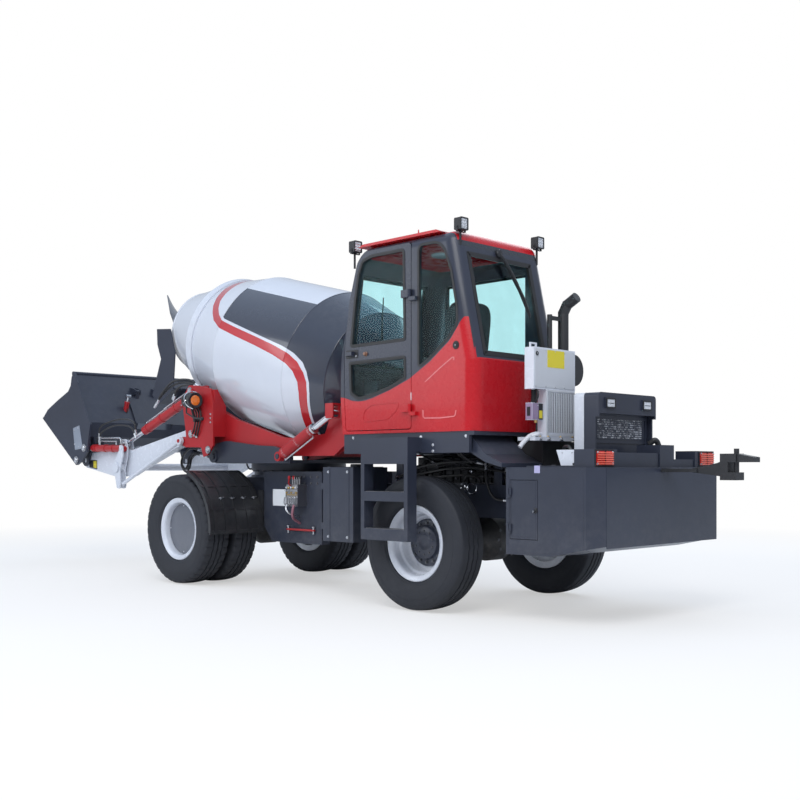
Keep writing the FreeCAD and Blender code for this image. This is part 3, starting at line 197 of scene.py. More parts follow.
    def repeat(self, name, tree, values, mat, body):
        """Runs a node tree on the shape and keeps the result as a plain mesh."""
        obj = self.object(name, 0.0001)
        mod = obj.modifiers.new("Repeat", "NODES")
        mod.node_group = tree
        values = dict(values, Material=MATS[mat])
        for item in tree.interface.items_tree:
            if item.in_out == "INPUT" and item.name in values:
                mod[item.identifier] = values[item.name]
        bpy.context.view_layer.update()
        mesh = bpy.data.meshes.new_from_object(obj.evaluated_get(bpy.context.evaluated_depsgraph_get()))
        obj.modifiers.clear()
        obj.data = mesh
        mesh.name = name
        mesh.materials.clear()
        mesh.polygons.foreach_set("material_index", [0] * len(mesh.polygons))
        return settle(obj, mat, body, 35)


def settle(obj, mats, body, smooth):
    """Gives a piece its materials and shading, and rides it on its body."""
    mesh = obj.data
    for key in mats.split():
        mesh.materials.append(MATS[key])
    mesh.polygons.foreach_set("use_smooth", [True] * len(mesh.polygons))
    mesh.set_sharp_from_angle(angle=math.radians(smooth))
    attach(obj, body)
    return obj


def ring_of(name, make, centre, axis, count, mat, body):
    """Ring of like pieces about an axis, each modelled at the top of the ring."""
    shape = Shape()
    make(shape)
    return shape.repeat(name, MATS["ring"], {"Count": count, "Axis": axis, "Centre": centre}, mat, body)


def rows(name, make, across, step, mat, body=REAR, up=1, rise=(0, 0, 0)):
    """Like pieces in rows, steps given in millimetres."""
    shape = Shape()
    make(shape)
    values = {"Across": across, "Up": up, "Step Across": [v / 1000 for v in step],
              "Step Up": [v / 1000 for v in rise]}
    return shape.repeat(name, MATS["grid"], values, mat, body)


# ---- outlines ------------------------------------------------------------------------------------
def round_outline(points, steps=7):
    """Closed outline with its corners rounded by their third number."""
    out = []
    n = len(points)
    for i, p in enumerate(points):
        here = Vector(p[:2])
        radius = p[2] if len(p) > 2 else 0
        before, after = Vector(points[i - 1][:2]) - here, Vector(points[(i + 1) % n][:2]) - here
        half = before.angle(after) / 2
        if not radius or half > 1.55:
            out.append(here)
            continue
        reach = min(radius / math.tan(half), before.length * 0.49, after.length * 0.49)
        radius = reach * math.tan(half)
        a, b = before.normalized(), after.normalized()
        centre = here + (a + b).normalized() * (radius / math.sin(half))
        first, last = here + a * reach - centre, here + b * reach - centre
        for k in range(steps + 1):
            spin = -first.angle_signed(last) * k / steps
            out.append(centre + Vector((first.x * math.cos(spin) - first.y * math.sin(spin),
                                        first.x * math.sin(spin) + first.y * math.cos(spin))))
    return out


def card(u0, v0, u1, v1, radius):
    """Rectangle with rounded corners."""
    return round_outline([(u0, v0, radius), (u1, v0, radius), (u1, v1, radius), (u0, v1, radius)])


def moved_outline(loop, by):
    """Outline moved outwards by a distance."""
    n = len(loop)
    area = sum(loop[i - 1].x * loop[i].y - loop[i].x * loop[i - 1].y for i in range(n))
    by = by if area > 0 else -by
    out = []
    for i in range(n):
        a = (loop[i] - loop[i - 1]).normalized()
        b = (loop[(i + 1) % n] - loop[i]).normalized()
        mid = Vector((a.y + b.y, -a.x - b.x))
        size = mid.length
        mid = mid / size if size > 1e-6 else Vector((a.y, -a.x))
        out.append(loop[i] + mid * (by / max(0.3, size / 2)))
    return out


def on_side(y, s=1):
    """Plane along a flank: (ahead, up, outwards) in millimetres."""
    return lambda u, v, w: at(u, s * (y + w), v)


def on_rear(x):
    """Plane that faces backwards: (left, up, outwards) in millimetres."""
    return lambda u, v, w: at(x - w, u, v)


def rear_wall(u, v, w):
    return at(-655 + (v - 1925) * 187 / 875 - w, u, v)


def front_wall(u, v, w):
    return at(808 - (v - 1960) * 0.161 + w, u, v)


# ---- node trees ----------------------------------------------------------------------------------
def node_group(kind, name, inputs, outputs):
    """Empty group with its sockets, given as (label, kind, default)."""
    tree = bpy.data.node_groups.new(name, kind + "NodeTree")
    for way, sockets in (("INPUT", inputs), ("OUTPUT", outputs)):
        for label, sort, *default in sockets:
            sock = tree.interface.new_socket(label, in_out=way, socket_type="NodeSocket" + sort)
            if default:
                sock.default_value = default[0]
    return tree, tree.nodes.new("NodeGroupInput").outputs, tree.nodes.new("NodeGroupOutput").inputs


def fill(tree, sockets, values):
    """Sets sockets to values, or links them to other sockets."""
    for key, value in values.items():
        if isinstance(value, bpy.types.NodeSocket):
            tree.links.new(value, sockets[key])
        else:
            sockets[key].default_value = value


def put(tree, kind, values=None, **settings):
    """New node's outputs, with its inputs filled."""
    node = tree.nodes.new(kind)
    for key, value in settings.items():
        setattr(node, key, value)
    fill(tree, node.inputs, values or {})
    return node.outputs


def calc(tree, operation, a, b=0.0, *more):
    """Result of a sum of two numbers or more."""
    out = put(tree, "ShaderNodeMath", {0: a, 1: b}, operation=operation)[0]
    return calc(tree, operation, out, *more) if more else out


def vector_calc(tree, operation, a, b=None, out=0, socket=1):
    return put(tree, "ShaderNodeVectorMath", {0: a} if b is None else {0: a, socket: b}, operation=operation)[out]


def place_copies(tree, start, end, points, turn=None):
    """Ends a tree: puts its geometry on points, turned about the centre where there is a turn."""
    values = {"Points": points, "Instance": start["Geometry"]}
    if turn:
        values["Rotation"] = turn
    out = put(tree, "GeometryNodeInstanceOnPoints", values)[0]
    out = put(tree, "GeometryNodeRealizeInstances", {0: out})[0]
    if turn:
        out = put(tree, "GeometryNodeTransform", {"Geometry": out, "Translation": start["Centre"]})[0]
    fill(tree, end, {0: put(tree, "GeometryNodeSetMaterial", {"Geometry": out, "Material": start["Material"]})[0]})
    return tree


def ring_tree():
    """Repeats its geometry evenly round an axis, then moves the ring to its centre."""
    tree, start, end = node_group("Geometry", "Ring of Pieces", [
        ("Geometry", "Geometry"), ("Count", "Int", 8), ("Axis", "Vector", (0, 1, 0)), ("Centre", "Vector", (0, 0, 0)),
        ("Material", "Material")], [("Geometry", "Geometry")])
    points = put(tree, "GeometryNodePoints", {"Count": start["Count"]})[0]
    share = calc(tree, "DIVIDE", put(tree, "GeometryNodeInputIndex")[0], start["Count"])
    turn = put(tree, "FunctionNodeAxisAngleToRotation",
               {"Axis": start["Axis"], "Angle": calc(tree, "MULTIPLY", share, 2 * math.pi)})[0]
    return place_copies(tree, start, end, points, turn)


def grid_tree():
    """Repeats its geometry in rows and columns."""
    tree, start, end = node_group("Geometry", "Rows of Pieces", [
        ("Geometry", "Geometry"), ("Across", "Int", 4), ("Up", "Int", 1), ("Step Across", "Vector", (0, 0, 0)),
        ("Step Up", "Vector", (0, 0, 0)), ("Material", "Material")], [("Geometry", "Geometry")])
    index = put(tree, "GeometryNodeInputIndex")[0]
    column = calc(tree, "MODULO", index, start["Across"])
    row = calc(tree, "FLOOR", calc(tree, "DIVIDE", index, start["Across"]))
    parts = [vector_calc(tree, "SCALE", start[step], amount, socket="Scale")
             for amount, step in ((column, "Step Across"), (row, "Step Up"))]
    points = put(tree, "GeometryNodePoints", {"Count": calc(tree, "MULTIPLY", start["Across"], start["Up"]),
                                              "Position": vector_calc(tree, "ADD", *parts)})[0]
    return place_copies(tree, start, end, points)


def mix_colour(tree, share, a, b):
    return put(tree, "ShaderNodeMix", {0: share, 6: a, 7: b}, data_type="RGBA")[2]


def remap(tree, value, a, b, c=0.0, d=1.0):
    return put(tree, "ShaderNodeMapRange", {"Value": value, "From Min": a, "From Max": b, "To Min": c, "To Max": d})[0]


def noise(tree, where, scale, detail=4.0, rough=0.5):
    return put(tree, "ShaderNodeTexNoise", {"Vector": where, "Scale": scale, "Detail": detail, "Roughness": rough})[0]


def split_object(tree):
    where = put(tree, "ShaderNodeTexCoord")["Object"]
    return where, put(tree, "ShaderNodeSeparateXYZ", {0: where})


def finish_group():
    """Dust on upward and low parts, slow colour drift and fine grain, for any painted or moulded surface."""
    tree, start, end = node_group("Shader", "Worn Finish", [
        ("Colour", "Color", (0.5, 0.5, 0.5, 1)), ("Dust Colour", "Color", (0.45, 0.42, 0.38, 1)),
        ("Dust", "Float", 0.1), ("Drift", "Float", 0.1), ("Grain Scale", "Float", 400.0), ("Roughness", "Float", 0.4)],
        [("Colour", "Color"), ("Roughness", "Float"), ("Height", "Float")])
    where, place = split_object(tree)
    patch = noise(tree, where, 17.0, 5.0, 0.62)
    normal = put(tree, "ShaderNodeSeparateXYZ", {0: put(tree, "ShaderNodeNewGeometry")["Normal"]})["Z"]
    lying = calc(tree, "MAXIMUM", calc(tree, "MULTIPLY", remap(tree, normal, 0.35, 1.0), 0.7),
                 calc(tree, "MULTIPLY", remap(tree, place["Z"], 1.0, 0.15), 0.8))
    specks = calc(tree, "ADD", calc(tree, "MULTIPLY", remap(tree, patch, 0.42, 0.72), 0.75), 0.25)
    share = calc(tree, "ADD", calc(tree, "MULTIPLY", specks, lying), 0.08)
    share = calc(tree, "MULTIPLY", share, start["Dust"])
    drift = remap(tree, noise(tree, where, 2.6, 3.0, 0.55), 0.3, 0.7, -1.0, 1.0)
    bright = calc(tree, "ADD", 1.0, calc(tree, "MULTIPLY", drift, start["Drift"]))
    shade = vector_calc(tree, "SCALE", start["Colour"], bright, socket="Scale")
    spread = calc(tree, "MULTIPLY", remap(tree, patch, 0.35, 0.7, -0.5, 0.5), 0.06)
    fill(tree, end, {
        "Colour": mix_colour(tree, share, shade, start["Dust Colour"]),
        "Roughness": calc(tree, "ADD", start["Roughness"], calc(tree, "MULTIPLY", share, 0.35), spread),
        "Height": noise(tree, where, start["Grain Scale"], 2.0)})
    return tree


def curve_value(tree, value, points, lo, hi, low_out, high_out):
    """Number read off a drawn curve through (input, output) points."""
    node = tree.nodes.new("ShaderNodeFloatCurve")
    curve = node.mapping.curves[0]
    norm = [((a - lo) / (hi - lo), (b - low_out) / (high_out - low_out)) for a, b in points]
    curve.points[0].location, curve.points[1].location = norm[0], norm[-1]
    for p in norm[1:-1]:
        curve.points.new(*p)
    for p in curve.points:
        p.handle_type = "VECTOR"
    node.mapping.update()
    fill(tree, node.inputs, {"Value": remap(tree, value, lo, hi)})
    return remap(tree, node.outputs[0], 0.0, 1.0, low_out, high_out)


# ---- materials -----------------------------------------------------------------------------------
MOUTH = at(4096, 0, 2607)
LEAN = math.radians(14.33)
SPIN_AXIS = Vector((-math.cos(LEAN), 0, -math.sin(LEAN)))
SPIN_UP = Vector((-math.sin(LEAN), 0, math.cos(LEAN)))
# Paint edges round the drum: (degrees down from the top, metres behind the mouth)
RED_FRONT = [(0, 0.745), (30, 0.76), (38, 0.779), (48, 0.82), (58, 0.894), (65, 0.981), (71, 1.086), (75.8, 1.264),
             (78.1, 1.515), (80.9, 1.883), (83.8, 2.18), (86.7, 2.366), (91, 2.458), (98, 2.521), (106, 2.535),
             (119, 2.527), (132, 2.509), (142, 2.487), (180, 2.47)]
RED_BACK = [(0, 0.88), (28, 0.9), (42, 0.925), (53, 0.971), (60.3, 1.049), (65.6, 1.139), (70, 1.265), (71.8, 1.46),
            (74.6, 1.839), (77, 2.137), (79.6, 2.364), (83.7, 2.488), (90.2, 2.574), (96.8, 2.618), (105, 2.626),
            (118, 2.614), (130, 2.601), (136, 2.59), (180, 2.57)]
EDGE_BACK = [(0, 0.93), (34, 0.955), (46, 0.985), (54, 1.03), (60.2, 1.1), (64.4, 1.175), (68.2, 1.288), (70.4, 1.55),
             (73.6, 1.95), (76.2, 2.3), (78.5, 2.43), (83, 2.545), (89, 2.606), (96.6, 2.645), (105, 2.652),
             (118, 2.64), (130, 2.63), (136, 2.615), (180, 2.6)]
# Lower edge of the door's dark paint: (ahead, up) in millimetres
RED_EDGE = [(-1000, 2240), (-540, 2240), (-520, 2215), (-409, 2074), (-203, 1927), (21, 1806), (231, 1731),
            (430, 1676), (520, 1659), (600, 1655), (680, 1665), (760, 1690), (1000, 1730)]


def drum_paint(tree, c):
    """White drum with a red band in white borders and dark panels behind it."""
    rel = vector_calc(tree, "SUBTRACT", split_object(tree)[0], MOUTH)
    station, up, side = (vector_calc(tree, "DOT_PRODUCT", rel, way, "Value") for way in (SPIN_AXIS, SPIN_UP, LEFT))
    turn = calc(tree, "MULTIPLY", calc(tree, "ARCTAN2", calc(tree, "ABSOLUTE", side), up), 180 / math.pi)
    past_front, past_back, past_edge = (
        calc(tree, "GREATER_THAN", station, curve_value(tree, turn, points, 0, 180, 0.5, 3.0))
        for points in (RED_FRONT, RED_BACK, EDGE_BACK))
    white, red, dark = ((*colour, 1) for colour in (c.white, c.red, c.dark))
    body = calc(tree, "MULTIPLY", calc(tree, "GREATER_THAN", station, 1.258), calc(tree, "GREATER_THAN", turn, 37.5))
    tail = calc(tree, "GREATER_THAN", station, 2.335)
    panel = calc(tree, "MULTIPLY", past_edge, calc(tree, "MAXIMUM", body, tail))
    paint = mix_colour(tree, past_front, white, red)
    paint = mix_colour(tree, past_back, paint, white)
    paint = mix_colour(tree, panel, paint, dark)
    radius = calc(tree, "SQRT", calc(tree, "ADD", calc(tree, "MULTIPLY", up, up), calc(tree, "MULTIPLY", side, side)))
    within = calc(tree, "MULTIPLY", calc(tree, "LESS_THAN", radius, 0.41), calc(tree, "LESS_THAN", station, 2.85))
    return mix_colour(tree, calc(tree, "MAXIMUM", calc(tree, "LESS_THAN", station, -0.002), within), paint, dark)


def door_paint(tree, c):
    """Red below the sweeping edge, dark above it and on the inside."""
    place = split_object(tree)[1]
    edge = curve_value(tree, place["X"], [(x / 1000 - AHEAD, z / 1000) for x, z in RED_EDGE], -2.89, -0.89, 1.4, 2.4)
    outside = calc(tree, "GREATER_THAN", place["Y"], 0.924)
    red = calc(tree, "MULTIPLY", calc(tree, "LESS_THAN", place["Z"], edge), outside)
    return mix_colour(tree, red, (*c.dark, 1), (*c.red, 1))


def cab_paint(tree, c):
    """Outside colour on the skin and dark trim inside the cab's room."""
    place = split_object(tree)[1]
    edges = (("GREATER_THAN", at(-618, -44, 1395)), ("LESS_THAN", at(776, 924, 2830)))
    sides = [calc(tree, way, place[axis], edge[i]) for i, axis in enumerate("XYZ") for way, edge in edges]
    return mix_colour(tree, calc(tree, "MULTIPLY", *sides), (*c.red, 1), (*c.trim, 1))


def mesh_light(tree, c):
    """Broken light behind a perforated sheet."""
    share = remap(tree, noise(tree, split_object(tree)[0], 34.0, 6.0, 0.8), 0.46, 0.60)
    return mix_colour(tree, share, (0.04, 0.042, 0.05, 1), (0.85, 0.87, 0.92, 1))


def new_material(key, name, colour):
    mat = MATS[key] = bpy.data.materials.new(name + "_finish")
    mat.use_nodes = True
    mat.diffuse_color = colour
    return mat.node_tree, mat.node_tree.nodes["Principled BSDF"].inputs


def finish(key, name, colour, rough, metal=0.0, coat=0.0, dust=0.15, drift=0.06, grain=500.0, bump=0.02,
           dust_colour=(0.42, 0.40, 0.37), depth=0.0004, paint=None, spec=0.5):
    """Principled material whose colour, roughness and bump pass through the worn finish."""
    tree, shader = new_material(key, name, (*colour, 1))
    worn = put(tree, "ShaderNodeGroup", {
        "Colour": paint(tree, bpy.context.scene.mixer_colours) if paint else (*colour, 1),
        "Dust Colour": (*dust_colour, 1), "Dust": dust, "Drift": drift, "Grain Scale": grain, "Roughness": rough},
        node_tree=MATS["worn"])
    normal = put(tree, "ShaderNodeBump", {"Strength": bump, "Distance": depth, "Height": worn["Height"]})[0]
    fill(tree, shader, {"Base Color": worn["Colour"], "Roughness": worn["Roughness"], "Normal": normal,
                        "Metallic": metal, "Specular IOR Level": spec})
    if coat:
        fill(tree, shader, {"Coat Weight": coat, "Coat Roughness": 0.06})


def glass_finish(tint):
    tree, shader = new_material("glass", "cab_glass", (*tint, 0.4))
    film = remap(tree, noise(tree, split_object(tree)[0], 6.0, 4.0, 0.55), 0.35, 0.75)
    shade = mix_colour(tree, film, (*tint, 1), (*[min(1.0, c * 1.04 + 0.01) for c in tint], 1))
    fill(tree, shader, {"Base Color": shade, "Roughness": remap(tree, film, 0, 1, 0.0, 0.03),
                        "Transmission Weight": 1.0, "IOR": 1.12})


def make_materials(c):
    """Materials and node trees that the operators share."""
    MATS["worn"], MATS["ring"], MATS["grid"] = finish_group(), ring_tree(), grid_tree()
    skin = dict(coat=0.15, drift=0.04, grain=240, bump=0.05, spec=0.3)
    lens = dict(coat=0.8, dust=0.05, drift=0.2, grain=120, bump=0.2)
    finish("white", "white_paint", c.white, 0.26, coat=0.35, dust=0.22, drift=0.03, grain=260, bump=0.05)
    finish("dark", "dark_paint", c.dark, 0.34, coat=0.1, dust=0.16, drift=0.1, grain=240, bump=0.06, spec=0.38)
    finish("red", "red_paint", c.red, 0.28, coat=0.15, dust=0.08, drift=0.06, grain=240, bump=0.05, spec=0.3)
    finish("frame_red", "cradle_red", [v * 0.8 for v in c.red], 0.36, coat=0.1, dust=0.2, drift=0.1, grain=240,
           bump=0.07, spec=0.35)
    finish("yellow", "yellow_plate", c.yellow, 0.4, dust=0.1, drift=0.05)
    finish("black", "black_metal", (0.018, 0.019, 0.023), 0.5, dust=0.3, drift=0.2, grain=320, bump=0.1)
    finish("steel", "bare_steel", (0.42, 0.42, 0.44), 0.34, metal=1.0, dust=0.25, drift=0.12, grain=700, bump=0.08)
    finish("chrome", "chromed_rod", (0.78, 0.79, 0.82), 0.1, metal=1.0, dust=0.1, drift=0.02, grain=900, bump=0.01)
    finish("zinc", "plated_fitting", (0.62, 0.63, 0.66), 0.28, metal=1.0, dust=0.1, drift=0.1)
    finish("brass", "brass_fitting", (0.62, 0.42, 0.16), 0.35, metal=1.0, drift=0.15)
    finish("rubber", "tyre_rubber", c.rubber, 0.6, dust=0.2, drift=0.14, grain=420, bump=0.18,
           dust_colour=(0.10, 0.10, 0.105), depth=0.0006, spec=0.35)
    finish("hose", "hose_rubber", (0.014, 0.014, 0.016), 0.42, dust=0.12, drift=0.1, grain=900, bump=0.12)
    finish("plastic", "moulded_plastic", (0.013, 0.014, 0.018), 0.42, dust=0.12, drift=0.1, grain=900, bump=0.16,
           spec=0.4)
    finish("gasket", "gasket_rubber", (0.012, 0.012, 0.014), 0.5, dust=0.1, drift=0.05)
    finish("trim", "cab_trim", c.trim, 0.6, dust=0.05, drift=0.08, grain=600, bump=0.1)
    finish("seat", "seat_weave", (0.03, 0.032, 0.04), 0.8, dust=0.05, drift=0.1, grain=1200, bump=0.35)
    finish("pale_hose", "pale_hose", (0.66, 0.67, 0.7), 0.45, dust=0.1, drift=0.05)
    finish("plate", "blank_plate", (0.8, 0.82, 0.85), 0.35, dust=0.08, drift=0.02)
    finish("red_lens", "red_lens", (0.62, 0.02, 0.015), 0.18, **lens)
    finish("amber_lens", "amber_lens", (0.85, 0.2, 0.015), 0.16, **lens)
    finish("clear_lens", "clear_lens", (0.66, 0.68, 0.72), 0.14, coat=0.8, dust=0.04, drift=0.15, grain=160, bump=0.3)
    finish("lens_bar", "red_lens_bar", (0.95, 0.16, 0.1), 0.2, coat=0.6, dust=0.03, drift=0.1)
    finish("drum", "drum_paint", c.white, 0.2, coat=0.6, dust=0.12, drift=0.02, grain=200, bump=0.04, paint=drum_paint)
    finish("door", "door_paint", c.red, 0.28, dust=0.06, paint=door_paint, **skin)
    finish("cab_red", "cab_skin", c.red, 0.28, dust=0.06, paint=cab_paint, **skin)
    # Pale pink crease colour: painted highlight along the cab's pressed creases
    finish("crease_highlight", "painted_crease_highlight", (0.85, 0.34, 0.35), 0.3, dust=0.04, drift=0.03)
    finish("guard", "mudguard", (0.016, 0.017, 0.021), 0.3, dust=0.1, drift=0.1, bump=0.08)
    finish("violet", "pale_label", (0.42, 0.4, 0.62), 0.4, dust=0.06, drift=0.03)
    finish("zinc_dark", "hub_bolt", (0.09, 0.095, 0.11), 0.38, metal=0.4, dust=0.2, drift=0.2)
    finish("cover", "wheel_cover", (0.115, 0.125, 0.155), 0.32, coat=0.3, drift=0.08)
    finish("brown", "door_knob", (0.2, 0.09, 0.05), 0.4, coat=0.3)
    finish("cooler", "cooler_paint", (0.56, 0.58, 0.62), 0.34, coat=0.2, drift=0.04, bump=0.05)
    # Dark cooler core colour, also used as painted shade in the slots between the fins
    finish("core_and_slot_shade_dark", "cooler_core_and_painted_shade", (0.05, 0.055, 0.065), 0.5, dust=0.3, drift=0.2)
    finish("relay", "relay_box", (0.30, 0.22, 0.34), 0.4, dust=0.1, drift=0.05)
    # Painted light seen through the hood panel's holes
    finish("mesh_pale", "lit_mesh", (0.5, 0.52, 0.56), 0.5, dust=0.05, drift=0.3, paint=mesh_light)
    finish("grey_plate", "wear_plate", (0.24, 0.27, 0.33), 0.4, dust=0.2, drift=0.15)
    finish("tube_pink", "drain_tube", (0.3, 0.12, 0.16), 0.4, dust=0.1, drift=0.05)
    finish("casting", "gearbox_casting", (0.022, 0.024, 0.029), 0.5, metal=0.2, dust=0.25, drift=0.2, grain=180,
           bump=0.25)
    glass_finish(c.glass)


# ---- property groups -----------------------------------------------------------------------------
def colour_property(label, text, value):
    return bpy.props.FloatVectorProperty(name=label, description=text, default=value, size=3, min=0, max=1,
                                         subtype="COLOR")


def length_property(label, text, value):
    return bpy.props.FloatProperty(name=label, description=text, default=value, min=0, unit="LENGTH",
                                   subtype="DISTANCE")


class MixerColours(bpy.types.PropertyGroup):
    red: colour_property("Red Paint", "Cab, cradle and cylinder paint", (0.50, 0.009, 0.016))
    white: colour_property("White Paint", "Drum, arm, hood and rim paint", (0.66, 0.69, 0.76))
    dark: colour_property("Dark Paint", "Frame, box and bucket paint", (0.026, 0.032, 0.053))
    yellow: colour_property("Yellow Plate", "Blank plate on the cooler", (0.72, 0.6, 0.03))
    rubber: colour_property("Tyre Rubber", "Tyre tread and sidewall", (0.02, 0.022, 0.029))
    glass: colour_property("Cab Glass", "Tint of the cab's panes", (0.66, 0.88, 0.9))
    trim: colour_property("Cab Trim", "Inside of the cab", (0.035, 0.04, 0.052))


class MixerSizes(bpy.types.PropertyGroup):
    tyre_radius: length_property("Tyre Radius", "Ground to wheel centre", 0.527)
    tyre_width: length_property("Tyre Width", "Across one tyre's sidewalls", 0.278)
    groove_depth: length_property("Groove Depth", "Depth of the tread grooves", 0.013)
    hub_bolt: length_property("Hub Bolt", "Across half of a hub bolt's head", 0.011)
    hose_radius: length_property("Hose Radius", "Half the width of a hydraulic hose", 0.011)
    frame_bolt: length_property("Frame Bolt", "Across half of a frame bolt's head", 0.010)


def settings():
    return bpy.context.scene.mixer_sizes


# ---- wheels --------------------------------------------------------------------------------------
def tyre_profile(sizes, grooves):
    """(across, radius, groove mark) points from one bead over the crown to the other."""
    half = sizes.tyre_width / 2
    side = [(0.0862, 0.258), (0.0862, 0.290), (0.088, 0.3005), (0.100, 0.3035), (0.1065, 0.306), (0.113, 0.3155),
            (0.1195, 0.322), (0.1205, 0.327), (0.127, 0.345), (0.1335, 0.372)]
    side += [(half - inset, radius) for inset, radius in (
        (0.0016, 0.403), (0, 0.42), (0, 0.438), (0.0012, 0.4385), (0.0012, 0.4475), (0, 0.448), (0.001, 0.466),
        (0.0045, 0.4815), (0.0075, 0.4895), (0.0065, 0.4905), (0.0125, 0.505), (0.0195, 0.5145), (0.0255, 0.5178))]
    edge = half - 0.0255

    def height(y):
        return sizes.tyre_radius - 0.0075 * (y / edge) ** 2 - 0.0012
    crown = [(edge - 0.012, height(edge - 0.012), 0)]
    for g in sorted(grooves, reverse=True):
        floor = height(g) - sizes.groove_depth
        crown += [(g + 0.0068, height(g + 0.0068), 1), (g + 0.0042, floor, 1), (g - 0.0042, floor, 1),
                  (g - 0.0068, height(g - 0.0068), 1), (g - 0.026, height(g - 0.026), 0)]
    return [(y, r, 0) for y, r in side] + crown + [(-y, r, 0) for y, r in reversed(side)]


TREAD_STEPS = 200                               # points round a tyre
SHOULDER_CUT, CROWN_CUT = 0.011, 0.007          # depths of a block tread's cuts


def tyre(name, x, y, body, blocks):
    """One tyre: zigzag grooves, and a cut crown and shoulders where it is a block tread."""
    sizes = settings()
    profile = tyre_profile(sizes, (0.05, 0.0, -0.05))
    verts = []
    for k, a in enumerate(circle(TREAD_STEPS)):
        zig = (0, 0.0022, 0.0036, 0.0012, -0.002)[k % 5]
        for across, radius, groove in profile:
            if groove:
                across += zig
            if blocks and k % 5 == 0 and abs(across) > 0.062 and radius > 0.495:
                radius -= SHOULDER_CUT
            elif blocks and k % 5 == 2 and not groove and abs(across) < 0.045 and radius > 0.5:
                radius -= CROWN_CUT
            verts.append((x + radius * math.sin(a), y + across, sizes.tyre_radius + radius * math.cos(a)))
    return Shape().add(verts, wrap(len(profile), TREAD_STEPS)).become(name, "rubber", "tyre_rubber", body, smooth=32)


RIM_EDGE = [(-0.1, 0.298), (-0.087, 0.298), (-0.087, 0.2545), (0.0845, 0.2545), (0.0845, 0.288), (0.0885, 0.2965),
            (0.097, 0.3005), (0.104, 0.2965), (0.1055, 0.289), (0.1, 0.279), (0.0945, 0.262), (0.087, 0.253)]
RIM_REAR = RIM_EDGE + [
    (0.07, 0.2485), (0.03, 0.2455), (0.02, 0.242), (0.014, 0.233), (0.004, 0.2285), (-0.04, 0.2255),
    (-0.056, 0.2215), (-0.0635, 0.212), (-0.0655, 0.196), (-0.0655, 0.180), (-0.078, 0.180),
    (-0.078, 0.222), (-0.084, 0.2405), (-0.1, 0.2405)]
RIM_FRONT = RIM_EDGE + [(0.07, 0.2495), (0.042, 0.2475), (0.03, 0.246), (0.03, 0.235), (-0.06, 0.235), (-0.1, 0.2405)]
HUB_REAR = [(-0.1, 0.188), (-0.05, 0.188), (-0.0425, 0.182), (-0.0405, 0.176), (-0.0405, 0.137), (-0.034, 0.131),
            (-0.014, 0.127), (-0.0085, 0.12), (-0.0085, 0.066), (-0.0055, 0.063), (-0.0055, 0.045), (-0.0085, 0.041),
            (-0.0085, 0.02)]
HUB_FRONT = [(-0.39, 0.19), (-0.1, 0.19), (-0.1, 0.235), (0.02, 0.235), (0.026, 0.2)]
COVER = [(0.026, 0.243), (0.035, 0.243), (0.0385, 0.2395), (0.0385, 0.2), (0.0395, 0.02)]


class MIXER_OT_tyres(bpy.types.Operator):
    """Build the six tyres with their tread"""
    bl_idname = "mixer.tyres"
    bl_label = "Tyres"

    def execute(self, context):
        rear_x, front_x = at(0, 0, 0).x, at(WHEEL_BASE, 0, 0).x
        for side, s in SIDES:
            rear = tyre("rear_%s_tread" % side, rear_x, s * REAR_Y / 1000, "rear_%s_wheel" % side, False)
            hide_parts("rear_%s_tyre" % side)
            body = "front_%s_wheels" % side
            outer = tyre("front_%s_outer_tread" % side, front_x, s * TWIN_OUT / 1000, body, True)
            inner = tyre("front_%s_inner_tread" % side, front_x, s * TWIN_IN / 1000, body, True)
            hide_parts("front_%s_tyres" % side)
            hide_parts("front_%s_tyres" % side)
        return {"FINISHED"}


class MIXER_OT_rims(bpy.types.Operator):
    """Build the rims, hubs and their bolts"""
    bl_idname = "mixer.rims"
    bl_label = "Rims and Hubs"

    def execute(self, context):
        sizes = settings()
        b = sizes.hub_bolt
        for side, s in SIDES:
            def facing(profile):
                return [(s * a, r) for a, r in profile]

            def nuts(shape, radius=0.158, face=-0.0405, head=b, tall=0.015):
                shape.hex_head((0, s * face, radius), (0, s, 0), head, tall)

            def small(shape):
                nuts(shape, 0.094, -0.0085, b * 0.62, 0.008)

            def screw(shape):
                shape.disc([(0, 0.0075), (0.004, 0.0075), (0.0062, 0.005)], (0, s * 0.0388, 0.222), (0, s, 0), 12)
            body = "rear_%s_wheel" % side
            centre = (at(0, 0, 0).x, s * REAR_Y / 1000, sizes.tyre_radius)
            rim = Shape().lathe(facing(RIM_REAR), centre, LEFT, 96)
            rim = rim.become("rear_%s_rim" % side, "white", "white_paint", body, smooth=40)
            hub = Shape().disc(facing(HUB_REAR), centre, LEFT, 72)
            hub = hub.become("rear_%s_hub" % side, "dark", "dark_paint", body, smooth=40)
            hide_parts("rear_%s_wheel" % side)
            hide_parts("rear_%s_wheel" % side)
            ring_of("rear_%s_hub_nuts" % side, nuts, centre, LEFT, 14, "zinc_dark", body)
            ring_of("rear_%s_cap_bolts" % side, small, centre, LEFT, 10, "zinc_dark", body)
            body = "front_%s_wheels" % side
            centre = (at(WHEEL_BASE, 0, 0).x, s * TWIN_OUT / 1000, sizes.tyre_radius)
            inner = (centre[0], s * TWIN_IN / 1000, centre[2])
            rim = Shape().lathe(facing(RIM_FRONT), centre, LEFT, 96).lathe(facing(RIM_FRONT), inner, LEFT, 72)
            rim = rim.become("front_%s_rims" % side, "white", "white_paint", body, smooth=40)
            cover = Shape().disc(facing(COVER), centre, LEFT, 72)
            cover = cover.become("front_%s_cover" % side, "cover", "dark_paint", body, smooth=40)
            hub = Shape().disc(facing(HUB_FRONT), centre, LEFT, 48)
            hub.become("front_%s_hub" % side, "dark", "dark_paint", body, smooth=40)
            for piece in (rim, cover):
                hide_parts("front_%s_wheel" % side)
            ring_of("front_%s_cover_screws" % side, screw, centre, LEFT, 4, "zinc", body)
        return {"FINISHED"}


